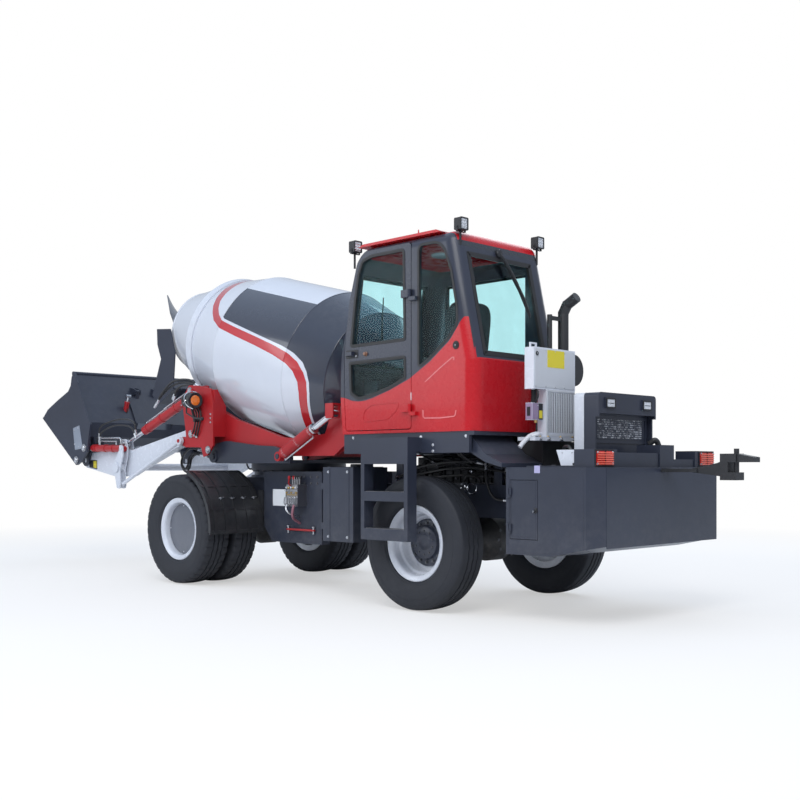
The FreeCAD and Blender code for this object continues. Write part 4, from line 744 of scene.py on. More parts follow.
PAINT = {
    "dark": "rear_frame rear_box rear_deck hood_tail cab_pillars cab_platform step_ladder side_tanks locker_door "
            "front_frame slew_base chute bucket bucket_gate steer_left_barrel steer_right_barrel",
    "black": "rear_axle tow_coupling engine_block exhaust front_axle",
    "white": "hood oil_cooler lift_arms bell_cranks link_rods", "plastic": "work_lamps side_lamps",
    "steel": "articulation_pin valve_bank drum_drive drum_rollers", "cab_red": "cab_lower cab_roof",
    "glass": "cab_glass door_glass", "frame_red": "cradle lift_barrels bucket_barrels tilt_barrels",
    "chrome": "lift_rods bucket_rods tilt_rods steer_left_rod steer_right_rod", "drum": "drum", "door": "cab_door",
    "red_lens": "tail_lamps", "seat": "driver_seat", "trim": "controls", "guard": "mudguards",
}


class MIXER_OT_paint(bpy.types.Operator):
    """Give every carried-over solid its finish"""
    bl_idname = "mixer.paint"
    bl_label = "Finishes"

    def execute(self, context):
        for mat, names in PAINT.items():
            for name in names.split():
                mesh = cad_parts[name].data
                mesh.materials.clear()
                mesh.materials.append(MATS[mat])
        return {"FINISHED"}


# ---- cab -----------------------------------------------------------------------------------------
UPPER_LIGHT = [(62, 2115, 20), (690, 2107, 20), (640, 2480), (600, 2690, 60), (550, 2795, 60), (440, 2822, 60),
               (75, 2822, 30)]
LOWER_LIGHT = [(62, 1985, 20), (62, 1815, 20), (240, 1745, 200), (470, 1690, 200), (600, 1675, 60), (690, 1720, 50),
               (702, 1975, 20)]
QUARTER_LIGHT = [(-78, 2835, 50), (-330, 2835, 150), (-425, 2600), (-482, 2320, 60), (-486, 2190, 60),
                 (-400, 2092, 60), (-203, 1952), (-78, 1885, 20)]
DOOR_PRESSING = [(543, 1487, 25), (531, 1576, 60), (437, 1621, 80), (119, 1631, 20), (164, 1562, 60), (254, 1502, 80)]
CAB_SKIN = 960                                  # left face of the cab and its door


class MIXER_OT_door_trim(bpy.types.Operator):
    """Add the door's seals, pressings and small fittings"""
    bl_idname = "mixer.door_trim"
    bl_label = "Door Trim"

    def execute(self, context):
        face = on_side(CAB_SKIN)
        seals = Shape()
        for light in (UPPER_LIGHT, LOWER_LIGHT):
            loop = round_outline(light)
            seals.rim(loop, -16, -0.4, face, -13.5, 2.5)
            seals.rim(loop, -16, 9, face, 0.2, 4)
        seals.become("door_glass_seals", "gasket", "black_plastic", "cab_door", bevel=0.0012)
        press = Shape().rim(round_outline(DOOR_PRESSING), -5, 5, face, -2, 3.2)
        press.become("door_pressing", "red", "red_paint", "cab_door", bevel=0.0025)
        fits = Shape()
        fits.disc([(0, 0.019), (0.006, 0.019), (0.009, 0.016), (0.022, 0.014), (0.026, 0.01)], at(508, 959, 2036),
                  LEFT, 28)
        fits.disc([(0, 0.026), (0.003, 0.026), (0.005, 0.024)], at(640, 959.5, 2046), LEFT, 28, 1)
        fits.pad(card(600, 2012, 745, 2078, 8), face, -0.5, 3, 1)
        fits.disc([(0, 0.008), (0.003, 0.008), (0.004, 0.006)], at(622, 963, 2028), LEFT, 20, 2)
        fits.become("door_fittings", "brown plastic zinc", "black_plastic", "cab_door", bevel=0.001)
        return {"FINISHED"}


class MIXER_OT_cab_trim(bpy.types.Operator):
    """Add the cab's seals, crease beads painted pale as a highlight, wipers, fittings and lamp"""
    bl_idname = "mixer.cab_trim"
    bl_label = "Cab Trim"

    def execute(self, context):
        seals, press, wiper, fits = (Shape() for _ in range(4))
        quarter, back = round_outline(QUARTER_LIGHT), card(86, 1956, 849, 2744, 14)
        for loop, inner, outer, place, lo, hi in (
                (quarter, -14, -0.4, on_side(CAB_SKIN), -13.5, 2.5), (quarter, -14, 7, on_side(CAB_SKIN), 0.2, 3.5),
                (back, -34, 4, rear_wall, 0.2, 4), (back, -30, -1, rear_wall, -26, 1),
                (card(70, 1960, 840, 2700, 14), -26, 4, front_wall, -4, 9),
                (card(-330, 1960, 560, 2700, 20), -18, 6, on_side(80, -1), -6, 4)):
            seals.rim(loop, inner, outer, place, lo, hi)
        seals.become("cab_glass_seals", "gasket", "black_plastic", bevel=0.0012)
        # Thin beads along the quarter panel's creases, coloured pale pink as a painted highlight where the creases
        # catch light
        for points in ([(-151, 1773), (-307, 1871), (-436, 1944), (-449, 1943), (-450, 1921)],
                       [(-130, 1560), (-132, 1508), (-146, 1497), (-307, 1493), (-450, 1501), (-462, 1510),
                        (-470, 1547)]):
            press.tube([at(x, CAB_SKIN + 0.5, z) for x, z in points], 0.0035, 8)
        press.become("cab_crease_highlights", "crease_highlight", "red_paint")
        wiper.disc([(-0.004, 0.034), (0.018, 0.034), (0.026, 0.026)], rear_wall(478, 2775, 0), (-1, 0, 0.21), 24)
        for points, radius in (
                (((478, 2775, 20), (430, 2700, 34), (325, 2545, 26)), 0.010),
                (((463, 2785, 16), (415, 2705, 30), (318, 2552, 24)), 0.006),
                (((415, 2700, 18), (325, 2548, 24), (268, 2440, 22), (222, 2310, 16)), 0.009),
                (((424, 2712, 9), (300, 2500, 9), (218, 2296, 9)), 0.008)):
            wiper.tube([rear_wall(*p) for p in points], radius, 8)
        wiper.disc([(-0.004, 0.022), (0.012, 0.022)], front_wall(455, 1990, 6), (1, 0, 0.16), 20)
        for points, radius in ((((455, 1990, 18), (500, 2230, 24), (540, 2420, 20)), 0.006),
                               (((520, 2150, 12), (552, 2560, 12)), 0.005)):
            wiper.tube([front_wall(*p) for p in points], radius, 8)
        wiper.become("wipers", "plastic", "black_plastic")
        cap = at(-470, CAB_SKIN, 2032)
        fits.disc([(-0.004, 0.031), (0.004, 0.031), (0.007, 0.027), (0.0055, 0.021)], cap, LEFT, 32)
        fits.disc([(0.004, 0.017), (0.009, 0.016), (0.0095, 0.008)], cap, LEFT, 24)
        fits.disc([(0.008, 0.005), (0.0115, 0.004)], cap, LEFT, 12, 1)
        fits.disc([(-0.01, 0.02), (0.004, 0.018), (0.01, 0.009), (0.03, 0.006), (0.055, 0.004)], at(14, 860, 2926),
                  UP, 20, 2)
        fits.block(-6, 2, 958, 962, 1640, 1700, 1)
        fits.become("cab_fittings", "plastic zinc red", "black_plastic", bevel=0.0008)
        dome = Shape().disc([(0, 0.09), (0.012, 0.09), (0.02, 0.08), (0.022, 0.03)], at(150, 440, 2862), (0, 0, -1), 32)
        dome.become("cab_lamp", "clear_lens", "lamp_plastic")
        return {"FINISHED"}


def cushion(lo, hi, crown, channels, lean=0.0, upright=False):
    """Stuffed form: rounded box, crowned on its showing face, with sewn channels across it."""
    power, n = 5.0, 30
    mid, half = (lo + hi) / 2, (hi - lo) / 2
    found, verts, faces = {}, [], []

    def vertex(a, b, c):
        key = (round(a, 5), round(b, 5), round(c, 5))
        if key not in found:
            size = (abs(a) ** power + abs(b) ** power + abs(c) ** power) ** (1 / power)
            u, v, w = a / size, b / size, c / size
            grow = 1 - 0.05 * (1 - u * u) * (1 - v * v)
            lift = crown * max(0, 1 - u * u) * max(0, 1 - v * v) if w > 0 else 0
            for station in channels:
                lift -= 0.012 * math.exp(-((u - station) / 0.035) ** 2) * max(0, w) * (1 if abs(v) < 0.72 else 0.3)
            for edge in (-0.74, 0.74):
                lift -= 0.009 * math.exp(-((v - edge) / 0.03) ** 2) * max(0, w)
            lift += 0.0015 * math.sin(9 * u + 4 * v) * max(0, w)
            found[key] = len(verts)
            if upright:
                verts.append(mid + Vector((half.x * w * grow + lift + lean * u * half.z, half.y * v, half.z * u)))
            else:
                verts.append(mid + Vector((half.x * u, half.y * v, half.z * w * grow + lift)))
        return found[key]
    for axis in range(3):
        for sign in (-1, 1):
            for i in range(n):
                for j in range(n):
                    quad = []
                    for di, dj in ((0, 0), (1, 0), (1, 1), (0, 1)):
                        p = [-1 + 2 * (i + di) / n, -1 + 2 * (j + dj) / n]
                        p.insert(axis, sign)
                        quad.append(vertex(*p))
                    faces.append(quad)
    return Shape().add(verts, faces)


class MIXER_OT_seat(bpy.types.Operator):
    """Upholster the driver's seat on its pedestal"""
    bl_idname = "mixer.seat"
    bl_label = "Driver's Seat"

    def execute(self, context):
        base = cushion(at(-130, 205, 1722), at(325, 675, 1826), 0.012, (-0.45, 0.0, 0.45))
        base = base.become("seat_cushion", "seat", "seat_cover", smooth=80)
        rest = cushion(at(-185, 215, 1838), at(-52, 665, 2436), 0.016, (-0.6, -0.2, 0.2, 0.6), -0.13, True)
        rest = rest.become("seat_back", "seat", "seat_cover", smooth=80)
        frame_, piping = Shape(), Shape()
        frame_.block(-60, 200, 300, 560, 1430, 1600)
        frame_.block(-40, 180, 320, 540, 1600, 1688)
        frame_.block(-110, 300, 225, 655, 1690, 1724)
        for y in (240, 640):
            frame_.bar([(-100, y, 1705), (-128, y, 1800), (-150, y, 1980)], 0.013, 10)
        frame_ = frame_.become("seat_frame", "plastic", "black_plastic", bevel=0.006)
        for y in (212, 668):
            piping.bar([(-122, y, 1776), (-60, y, 1792), (250, y, 1792), (318, y, 1774)], 0.004, 8, bend=8)
        piping.become("seat_piping", "gasket", "black_plastic")
        for piece in (base, rest, frame_):
            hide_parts("driver_seat")
        return {"FINISHED"}


class MIXER_OT_controls(bpy.types.Operator):
    """Add the dials, levers and knobs in the cab"""
    bl_idname = "mixer.controls"
    bl_label = "Cab Controls"

    def execute(self, context):
        fits = Shape()
        for y, r in ((300, 0.045), (440, 0.055), (580, 0.045)):
            fits.disc([(-0.002, r), (0.012, r), (0.014, r * 0.9), (0.009, r * 0.86)], at(560, y, 1752), BACK, 32)
            fits.disc([(0.0, r * 0.84), (0.008, r * 0.84)], at(560, y, 1752), BACK, 32, 1)
        for x in (-20, 60, 140, 215):
            fits.bar([(x, 130, 1878), (x + 6, 130, 1990)], 0.007, 10, 2)
            fits.disc([(0, 0.012), (0.012, 0.02), (0.03, 0.021), (0.044, 0.012)], at(x + 6, 130, 1985),
                      (0.05, 0, 1), 20)
        fits.disc([(-0.002, 0.05), (0.02, 0.05), (0.03, 0.04)], at(462, 440, 2046), (-0.25, 0, 1), 28)
        fits.become("cab_dials", "plastic plate zinc", "black_plastic")
        return {"FINISHED"}


# ---- rear carrier --------------------------------------------------------------------------------
class MIXER_OT_cooler(bpy.types.Operator):
    """Add the oil cooler's fins, plate, latch, relay cover and hoses"""
    bl_idname = "mixer.cooler"
    bl_label = "Oil Cooler"

    def execute(self, context):
        bezel, fits, hoses = Shape(), Shape(), Shape()
        rear, box = on_rear(-950), on_rear(-930)
        bezel.rim(card(146, 1362, 480, 1688, 6), -3, 12, rear, -0.5, 5)
        bezel.block(-956, -950, 470, 490, 1345, 1700)
        bezel.pad(card(140, 1712, 628, 1998, 14), rear, -0.5, 3.5)
        bezel.become("cooler_bezel", "cooler", "white_paint", bevel=0.0014)
        pitch = (0, 22, 0)
        rows("cooler_fins", lambda s: s.block(-954, -949.6, 143, 148, 1380, 1680), 16, pitch, "cooler")
        # Dark blocks between the fins: partly the cooler core, partly painted shade that darkens the slots
        rows("cooler_slot_shade_cells", lambda s: s.block(-948, -930.4, 150.3, 159.7, 1380.3, 1679.7), 15, pitch, "core_and_slot_shade_dark")
        rows("cooler_tubes", lambda s: s.block(-949, -947, 150.5, 159.5, 1390, 1393), 15, pitch, "core_and_slot_shade_dark",
             up=14, rise=(0, 0, 21))
        fits.pad(card(269, 1866, 480, 1996, 6), on_rear(-953.2), 0, 1.6)
        for y in (279, 470):
            fits.disc([(0, 0.003), (0.002, 0.0025)], at(-954.6, y, 1931), BACK, 10, 3)
        fits.disc([(0, 0.016), (0.004, 0.016), (0.006, 0.013), (0.0025, 0.009)], at(-953, 605, 1961), BACK, 28, 1)
        fits.disc([(0, 0.007), (0.005, 0.006)], at(-953, 605, 1961), BACK, 16, 3)
        for corners, place, lo, hi, mark in (
                ((562, 1474, 631, 1594, 6), box, -0.5, 5, 2),
                ((509, 1474, 558, 1594, 4), box, -0.5, 3, 1),
                ((514, 1484, 553, 1542, 3), on_rear(-933), 0, 1, 0),
                ((-929, 1474, -873, 1594, 4), on_side(635), -0.5, 4, 2),
                ((-918, 1500, -886, 1568, 3), on_side(639), 0, 1.5, 1)):
            fits.pad(card(*corners), place, lo, hi, mark)
        for z in (1492, 1578):
            fits.disc([(0, 0.005), (0.003, 0.005), (0.004, 0.003)], at(-935, 572, z), BACK, 12, 3)
        sleeve = [(0.009 * k + step, 0.0205 + swell) for k in range(11) for step, swell in ((0, 0), (0.0045, 0.0035))]
        fits.lathe([(0, 0.018)] + sleeve + [(0.099, 0.018)], at(-900, 575, 1599), UP, 24, 1)
        fits.disc([(0, 0.012), (0.014, 0.012), (0.02, 0.008)], at(-905, 560, 1470), (0, 0, -1), 18, 4)
        fits.disc([(0, 0.01), (0.012, 0.01)], at(-900, 600, 1600), UP, 16, 1)
        for y, wide in ((150, 36), (300, 44), (455, 40), (560, 30)):
            fits.block(-968, -958, y, y + wide, 1319, 1330, 3)
            fits.hex_head(at(-968, y + wide / 2, 1334), BACK, 0.009, 0.008, 3)
            fits.hex_head(at(-955, y + wide / 2, 1345), UP, 0.008, 0.01, 4)
        fits.become("cooler_fittings", "yellow plastic relay zinc brass", "yellow_paint", bevel=0.0006)
        for points, radius, sides, mark in (
                ([(-915, 575, 1700), (-948, 590, 1680), (-952, 596, 1640), (-926, 590, 1598)], 0.008, 12, 0),
                ([(-900, 545, 1472), (-905, 548, 1420), (-890, 530, 1370), (-880, 500, 1352)], 0.0065, 10, 0),
                ([(-885, 470, 1364), (-905, 540, 1370), (-905, 625, 1352), (-895, 690, 1305), (-885, 722, 1268)],
                 0.017, 16, 1),
                ([(-940, 560, 1345), (-955, 600, 1362), (-930, 640, 1350)], 0.011, 12, 1)):
            hoses.bar(points, radius, sides, mark, bend=8)
        hoses.become("cooler_hoses", "plastic pale_hose", "black_plastic")
        rows("cooler_screws", lambda s: s.disc([(0, 0.0055), (0.003, 0.0055), (0.0042, 0.004)], at(-953, 152, 1722),
                                               BACK, 12), 5, (0, 116, 0), "zinc", up=2, rise=(0, 0, 266))
        return {"FINISHED"}


class MIXER_OT_hood(bpy.types.Operator):
    """Add the hood's lamps, perforated panel, latches and side pipe"""
    bl_idname = "mixer.hood"
    bl_label = "Engine Hood"

    def execute(self, context):
        lamps, panel, fits, pipe = (Shape() for _ in range(4))
        face, sheet = on_rear(-1355), on_rear(-1275)
        for y in (245, -245):
            lamps.rim(card(y - 56, 1558, y + 56, 1626, 8), -7, 5, face, -1, 6)
            lamps.pad(card(y - 50, 1563, y + 50, 1621, 6), face, 0, 2.5, 1)
            lamps.block(-1360, -1357, y - 40, y + 40, 1589, 1593)
        lamps.become("hood_lamps", "plastic clear_lens", "lamp_plastic", bevel=0.001)
        rows("hood_lamp_ribs", lambda s: s.block(-1359, -1357, 201, 203, 1566, 1619), 8, (0, 12, 0), "clear_lens",
             up=2, rise=(0, -490, 0))
        panel.rim(card(-352, 1196, 352, 1500, 14), -20, 2, sheet, -0.5, 6)
        panel.rim(card(-300, 1330, 310, 1486, 24), -6, 2, sheet, -0.5, 4)
        panel.block(-1282, -1275, -330, 330, 1300, 1312)
        panel.become("hood_panel", "dark", "dark_paint", bevel=0.0015)
        # Pale discs in the holes: painted light showing through the perforated sheet
        rows("hood_holes", lambda s: s.disc([(0, 0.0055), (0.0012, 0.0055)], at(-1275, -282, 1342), BACK, 10), 34,
             (0, 17.4, 0), "mesh_pale", up=9, rise=(0, 0, 16.4))
        for y in (-300, 300):
            fits.disc([(0, 0.018), (0.006, 0.018), (0.009, 0.014)], at(-1345, y, 1155), BACK, 24)
            fits.block(-1353, -1349, y - 3, y + 3, 1143, 1167, 1)
        fits.become("hood_fittings", "plastic zinc", "black_plastic", bevel=0.001)
        pipe.bar([(-1290, -376, 1300), (-1330, -396, 1330), (-1340, -430, 1290), (-1340, -450, 1200),
                  (-1345, -452, 1122)], 0.022, 16, bend=8)
        pipe.disc([(0, 0.032), (0.02, 0.032)], at(-1345, -452, 1122), UP, 24)
        pipe.become("hood_pipe", "black", "black_metal")
        return {"FINISHED"}


class MIXER_OT_tail(bpy.types.Operator):
    """Add the tail lamps' bars and trim, the deck's bolts and case, the box's seams and the locker latch"""
    bl_idname = "mixer.tail"
    bl_label = "Tail"

    def execute(self, context):
        for name, y in (("tail_lamp_bars", 600), ("far_tail_lamp_bars", -785)):
            rows(name, lambda s: s.block(-1621, -1611, y, y + 185, 1140, 1147), 1, (0, 0, 0), "lens_bar",
                 up=6, rise=(0, 0, 15.4))
        trim, case, box, latch = (Shape() for _ in range(4))
        for s in (1, -1):
            loop = [Vector((s * y, z)) for y, z in ((590, 1130), (795, 1130), (795, 1237), (590, 1237))]
            trim.rim(loop, -1, 7, on_rear(-1600), -0.5, 8)
            trim.block(-1619, -1610, s * 693 - 3, s * 693 + 3, 1134, 1233)
            for y in (603, 783):
                for z in (1144, 1224):
                    trim.hex_head(at(-1611, s * y, z), BACK, 0.007, 0.008, 1)
        trim.pad(card(-1169, 1078, -1118, 1132, 3), on_side(850), -0.5, 1.5, 2)
        trim.become("tail_lamp_trim", "plastic zinc violet", "black_plastic", bevel=0.0008)
        rows("deck_bolts", lambda s: s.hex_head(at(-1410, 560, 1132), UP, 0.008, 0.006), 4, (110, 0, 0), "zinc_dark",
             up=2, rise=(0, 170, 0))
        case.pad([(-1427, 1132), (-1427, 1243), (-1259, 1243), (-1300, 1132)], on_side(780), 0, -160)
        case.block(-1424, -1404, 779, 786, 1134, 1150, 2)
        for x in (-1395, -1312):
            case.hex_head(at(x, 780, 1222), LEFT, 0.005, 0.004, 1)
        case.bar([(-1330, 700, 1240), (-1300, 690, 1268), (-1240, 660, 1262), (-1200, 600, 1220), (-1180, 540, 1160)],
                 0.011, 10, 2, bend=8)
        case.become("deck_case", "white zinc hose", "white_paint", bevel=0.006)
        box.block(-1662, -1658, -748, 748, 560, 1118)
        box.rim(round_outline([(-1638, 526, 4), (-884, 502, 4), (-884, 1106, 4), (-1540, 1106, 4), (-1540, 560, 4)]),
                0, 2, on_side(850), -0.5, 1.0)
        box.become("box_seams", "dark", "dark_paint", bevel=0.001)
        latch.disc([(-0.002, 0.02), (0.004, 0.02), (0.006, 0.017)], at(-1130, 850, 812), LEFT, 28)
        latch.disc([(0.0, 0.011), (0.010, 0.010), (0.012, 0.006)], at(-1130, 850, 812), LEFT, 20)
        latch.block(-1132, -1128, 861, 880, 797, 814, 1)
        latch.rim(card(-1138, 612, -903, 1018, 4), -9, -6, on_side(850), -0.3, 1.2, 2)
        latch.become("locker_latch", "plastic zinc dark", "black_plastic", "locker_door", bevel=0.0006)
        return {"FINISHED"}

# ---- mudguards and lamps -------------------------------------------------------------------------
GUARD_TURN = (112, 181)                         # degrees over the front wheel that the mudguard covers


def over_wheel(turn, radius, y):
    """Place above a front wheel: degrees from ahead, and millimetres out from its middle."""
    a = math.radians(turn)
    return at(WHEEL_BASE + radius * math.cos(a), y, AXLE_HEIGHT + radius * math.sin(a))


def guard_band(shape, y0, y1, r0, r1, first, last, steps=28):
    """Curved strip over a front wheel, between two radii and two angles."""
    verts = [over_wheel(first + (last - first) * k / steps, r, y) for k in range(steps + 1)
             for y, r in ((y0, r0), (y0, r1), (y1, r1), (y1, r0))]
    faces = [(0, 1, 2, 3), (4 * steps + 3, 4 * steps + 2, 4 * steps + 1, 4 * steps)]
    faces += [(4 * k + i, 4 * k + 4 + i, 4 * k + 4 + (i + 1) % 4, 4 * k + (i + 1) % 4)
              for k in range(steps) for i in range(4)]
    return shape.add(verts, faces)


class MIXER_OT_guards(bpy.types.Operator):
    """Add the ribs, edges and clips of the front mudguards"""
    bl_idname = "mixer.guards"
    bl_label = "Mudguards"

    def execute(self, context):
        turn = math.radians(150)
        for side, s in SIDES:
            pitch = (0, s * 128, 0)
            rows("mudguard_%s_ribs" % side, lambda p: guard_band(p, s * 540, s * 576, 592, 606, *GUARD_TURN), 5,
                 pitch, "guard", FRONT)
            edges = Shape()
            guard_band(edges, s * 1118, s * 1133, 568, 603, *GUARD_TURN)
            for a in (112.5, 136, 160, 180.5):
                guard_band(edges, s * 520, s * 1125, 592, 602, a - 1.1, a + 1.1, 3)
            edges.become("mudguard_%s_edges" % side, "guard", "black_plastic", FRONT, bevel=0.002)

            def clip(p):
                spots = ((604, 552), (622, 556), (622, 590), (604, 596))
                p.tube([over_wheel(150, r, s * y) for r, y in spots], 0.005, 8)
                p.hex_head(over_wheel(150, 603, s * 574), (math.cos(turn), 0, math.sin(turn)), 0.011, 0.01)
            rows("mudguard_%s_clips" % side, clip, 4, pitch, "zinc", FRONT)
        return {"FINISHED"}


class MIXER_OT_lamps(bpy.types.Operator):
    """Add the roof lamps' lenses and fins and the amber lamps on the towers"""
    bl_idname = "mixer.lamps"
    bl_label = "Lamps"

    def execute(self, context):
        heads, amber = Shape(), Shape()
        for x, y, z in ((-455, 895, 2900), (-470, -15, 2885), (690, 915, 2885)):
            loop, back = card(y - 42, z, y + 42, z + 90, 8), on_rear(x - 35)
            heads.rim(loop, -7, 3, back, -4, 8)
            heads.pad(moved_outline(loop, -6), back, -0.5, 3, 1)
            for k in range(9):
                heads.disc([(0.002, 0.010), (0.005, 0.009), (0.0065, 0.004)],
                           at(x - 36, y - 24 + 24 * (k // 3), z + 21 + 24 * (k % 3)), BACK, 12, 2)
            for k in range(6):
                heads.block(x + 25, x + 31, y - 38 + 14.4 * k, y - 34 + 14.4 * k, z + 6, z + 84)
            for s in (1, -1):
                heads.hex_head(at(x - 5, y + s * 42, z + 16), (0, s, 0), 0.007, 0.006, 3)
            for side in (-46, 46):
                heads.block(x - 14, x + 4, y + side - 2, y + side + 2, z - 12, z + 30)
            heads.block(x - 14, x + 4, y - 48, y + 48, z - 14, z - 9)
        heads.become("roof_lamp_parts", "plastic clear_lens chrome zinc", "black_plastic", bevel=0.0008)
        for s in (1, -1):
            axis, face = (-1, s * 0.1, -0.036), at(3060, s * 855, 1775)
            amber.lathe([(-0.002, 0.079), (0.012, 0.079), (0.016, 0.073), (0.009, 0.050), (-0.002, 0.050)], face,
                        axis, 40)
            amber.disc([(0.001, 0.051), (0.008, 0.050), (0.014, 0.038), (0.017, 0.022), (0.018, 0.006)], face,
                       axis, 40, 1)
            amber.lathe([(0.010, 0.036), (0.0175, 0.034), (0.0175, 0.030), (0.010, 0.030)], face, axis, 32, 1)
            amber.bar([(3070 + 62 * math.sin(0.25 * k), 848 + 88 * math.cos(0.33 * k - 1.3),
                        1778 + 88 * math.sin(0.33 * k - 1.3)) for k in range(12)], 0.006, 8, 2, s)
            amber.bar([(3140, 900, 1712), (3120, 912, 1650), (3000, 905, 1600), (2905, 895, 1590)], 0.008, 10, 0, s)
            amber.disc([(0, 0.010), (0.012, 0.017), (0.03, 0.017), (0.04, 0.009)], at(2905, s * 895, 1590),
                       (-1, 0, -0.1), 16)
            for k in range(3):
                amber.hex_head(at(3190 - 40 * k, s * 925, 1730 + 22 * k), (0, s, 0), 0.006, 0.006, 2)
        amber.become("tower_lamp_parts", "plastic amber_lens chrome", "lamp_plastic", "cradle")
        return {"FINISHED"}


# ---- loading gear --------------------------------------------------------------------------------
def pin_head(shape, x, z, y, s, radius):
    """Pin end (mark 0) with its washer (mark 1), grease nipple and keeper bolt."""
    place, axis, off = at(x, s * y, z), (0, s, 0), radius * 1.02 * 0.7
    shape.disc([(-0.004, radius * 1.3), (0.006, radius * 1.3), (0.008, radius * 1.22)], place, axis, 28, 1)
    shape.disc([(0.004, radius * 0.8), (0.016, radius * 0.8), (0.019, radius * 0.66)], place, axis, 24)
    shape.disc([(0.014, 0.0055), (0.026, 0.004)], place, axis, 8)
    shape.hex_head(place + Vector((off, s * 0.006, off)), axis, 0.006, 0.006)


def collar(half, inner, outer):
    """Profile of a plain ring round a barrel."""
    return [(-half, inner), (half, inner), (half, outer), (-half, outer)]


class MIXER_OT_front_gear(bpy.types.Operator):
    """Add pin heads, plates, pipes and bands on the loading gear and towers"""
    bl_idname = "mixer.front_gear"
    bl_label = "Loading Gear Fittings"

    def execute(self, context):
        tower, bucket, arms, barrels, lifts, tilts = (Shape() for _ in range(6))
        slope = 0.0243
        for s in (1, -1):
            out = (0, s, 0)
            for x, z in ((3290, 1883), (3273, 1452), (3449, 1365), (2980, 1290)):
                pin_head(tower, x, z, 755, s, 0.03)
            for z in (1560, 1600, 1640):
                tower.hex_head(at(2940, s * 755, z), out, 0.008, 0.007)
            for k, x in enumerate((3010, 3050, 3092)):
                tower.bar([(x + 150, 765, 1420 + 14 * k), (x + 100, 776, 1500), (x + 60, 776, 1640),
                           (x + 120, 770, 1720)], 0.008, 10, 2, s, 8)
                tower.hex_head(at(x + 150, s * 765, 1412 + 14 * k), UP, 0.012, 0.02)
            bucket.pad(round_outline([(5225, 1330, 10), (5395, 1315, 10), (5440, 1560, 10), (5300, 1590, 10)]),
                       on_side(860, s), -1, 6, 2)
            pin_head(bucket, 5200, 1335, 862, s, 0.034)
            pin_head(bucket, 5370, 1200, 862, s, 0.034)
            for x, z in ((5310, 1345), (5400, 1380), (5330, 1560), (5415, 1535)):
                bucket.hex_head(at(x, s * 865, z), out, 0.008, 0.006)
            arms.pad(round_outline([(5160, 1095, 6), (5330, 1118, 6), (5330, 1200, 6), (5160, 1200, 6)]),
                     on_side(720, s), -0.5, 1.5, 2)
            arms.pad(round_outline([(5172, 1108, 4), (5240, 1118, 4), (5240, 1188, 4), (5172, 1188, 4)]),
                     on_side(721, s), 0, 1.2, 3)
            pin_head(arms, 3222, 1461, 721, s, 0.032)
            pin_head(arms, 4600, 1380, 721, s, 0.026)
            arms.bar([(4250, 640, 1330), (4450, 636, 1340), (4550, 632, 1310)], 0.009, 10, 0, s, 8)
            barrels.bar([(4560, 776, 1375), (4560, 776, 1420), (4590, 776, 1436), (4985, 776, 1445),
                         (5015, 776, 1432), (5015, 776, 1370)], 0.010, 12, 0, s)
            barrels.bar([(4620, 798, 1362), (4620, 798, 1400), (4960, 798, 1408), (4960, 798, 1366)], 0.008, 12, 0, s)
            for x in (4545, 4700, 4860, 5060):
                barrels.lathe(collar(0.012, 0.039, 0.043), at(x, s * 780, 1319 + (x - 4500) * slope), (1, 0, slope),
                              28, 1)
            barrels.disc([(-0.01, 0.041), (0.016, 0.041), (0.02, 0.034)], at(5112, s * 780, 1333), (1, 0, slope),
                         28, 1)
            foot = at(3250, s * 675, 1875)
            line = (at(4600, 0, 1380) - at(3250, 0, 1875)).normalized()
            up, side = Vector((-line.z, 0, line.x)), Vector((0, s * 0.03, 0))
            for t in (0.14, 0.42, 0.7, 0.98):
                lifts.lathe(collar(0.011, 0.047, 0.0505), foot + line * t, line, 28)
            first, mid, last = (foot + line * t for t in (0.13, 0.6, 1.0))
            lifts.tube([first + up * 0.045, first + up * 0.068, last + up * 0.068, last + up * 0.045], 0.009, 10, 1)
            lifts.tube([first + side + up * 0.04, first + side + up * 0.060, mid + side + up * 0.060], 0.007, 10, 1)
            low, high = at(1930, s * 705, 1219), at(1200, s * 705, 1588)
            run = (high - low).normalized()
            over, near, far = Vector((run.z, 0, -run.x)), low + run * 0.06, low + run * 0.5
            for t in (0.1, 0.3, 0.5):
                tilts.lathe(collar(0.012, 0.047, 0.052), low + run * t, run, 28)
            tilts.tube([near - over * 0.045, near - over * 0.066, far - over * 0.066, far - over * 0.045], 0.008, 10)
            tilts.disc([(-0.012, 0.048), (0.012, 0.048), (0.016, 0.04)], low + run * 0.535, run, 28)
        tower.become("tower_fittings", "zinc steel hose", "steel", "cradle")
        bucket.become("bucket_fittings", "zinc steel grey_plate", "steel", "bucket", bevel=0.001)
        arms.become("arm_fittings", "zinc steel plastic yellow", "steel", "lift_arms", bevel=0.0006)
        barrels.become("bucket_barrel_fittings", "zinc frame_red", "red_paint", "bucket_barrels")
        lifts.become("lift_barrel_fittings", "frame_red zinc", "red_paint", "lift_barrels")
        tilts.become("tilt_barrel_fittings", "zinc", "red_paint", "tilt_barrels")
        return {"FINISHED"}


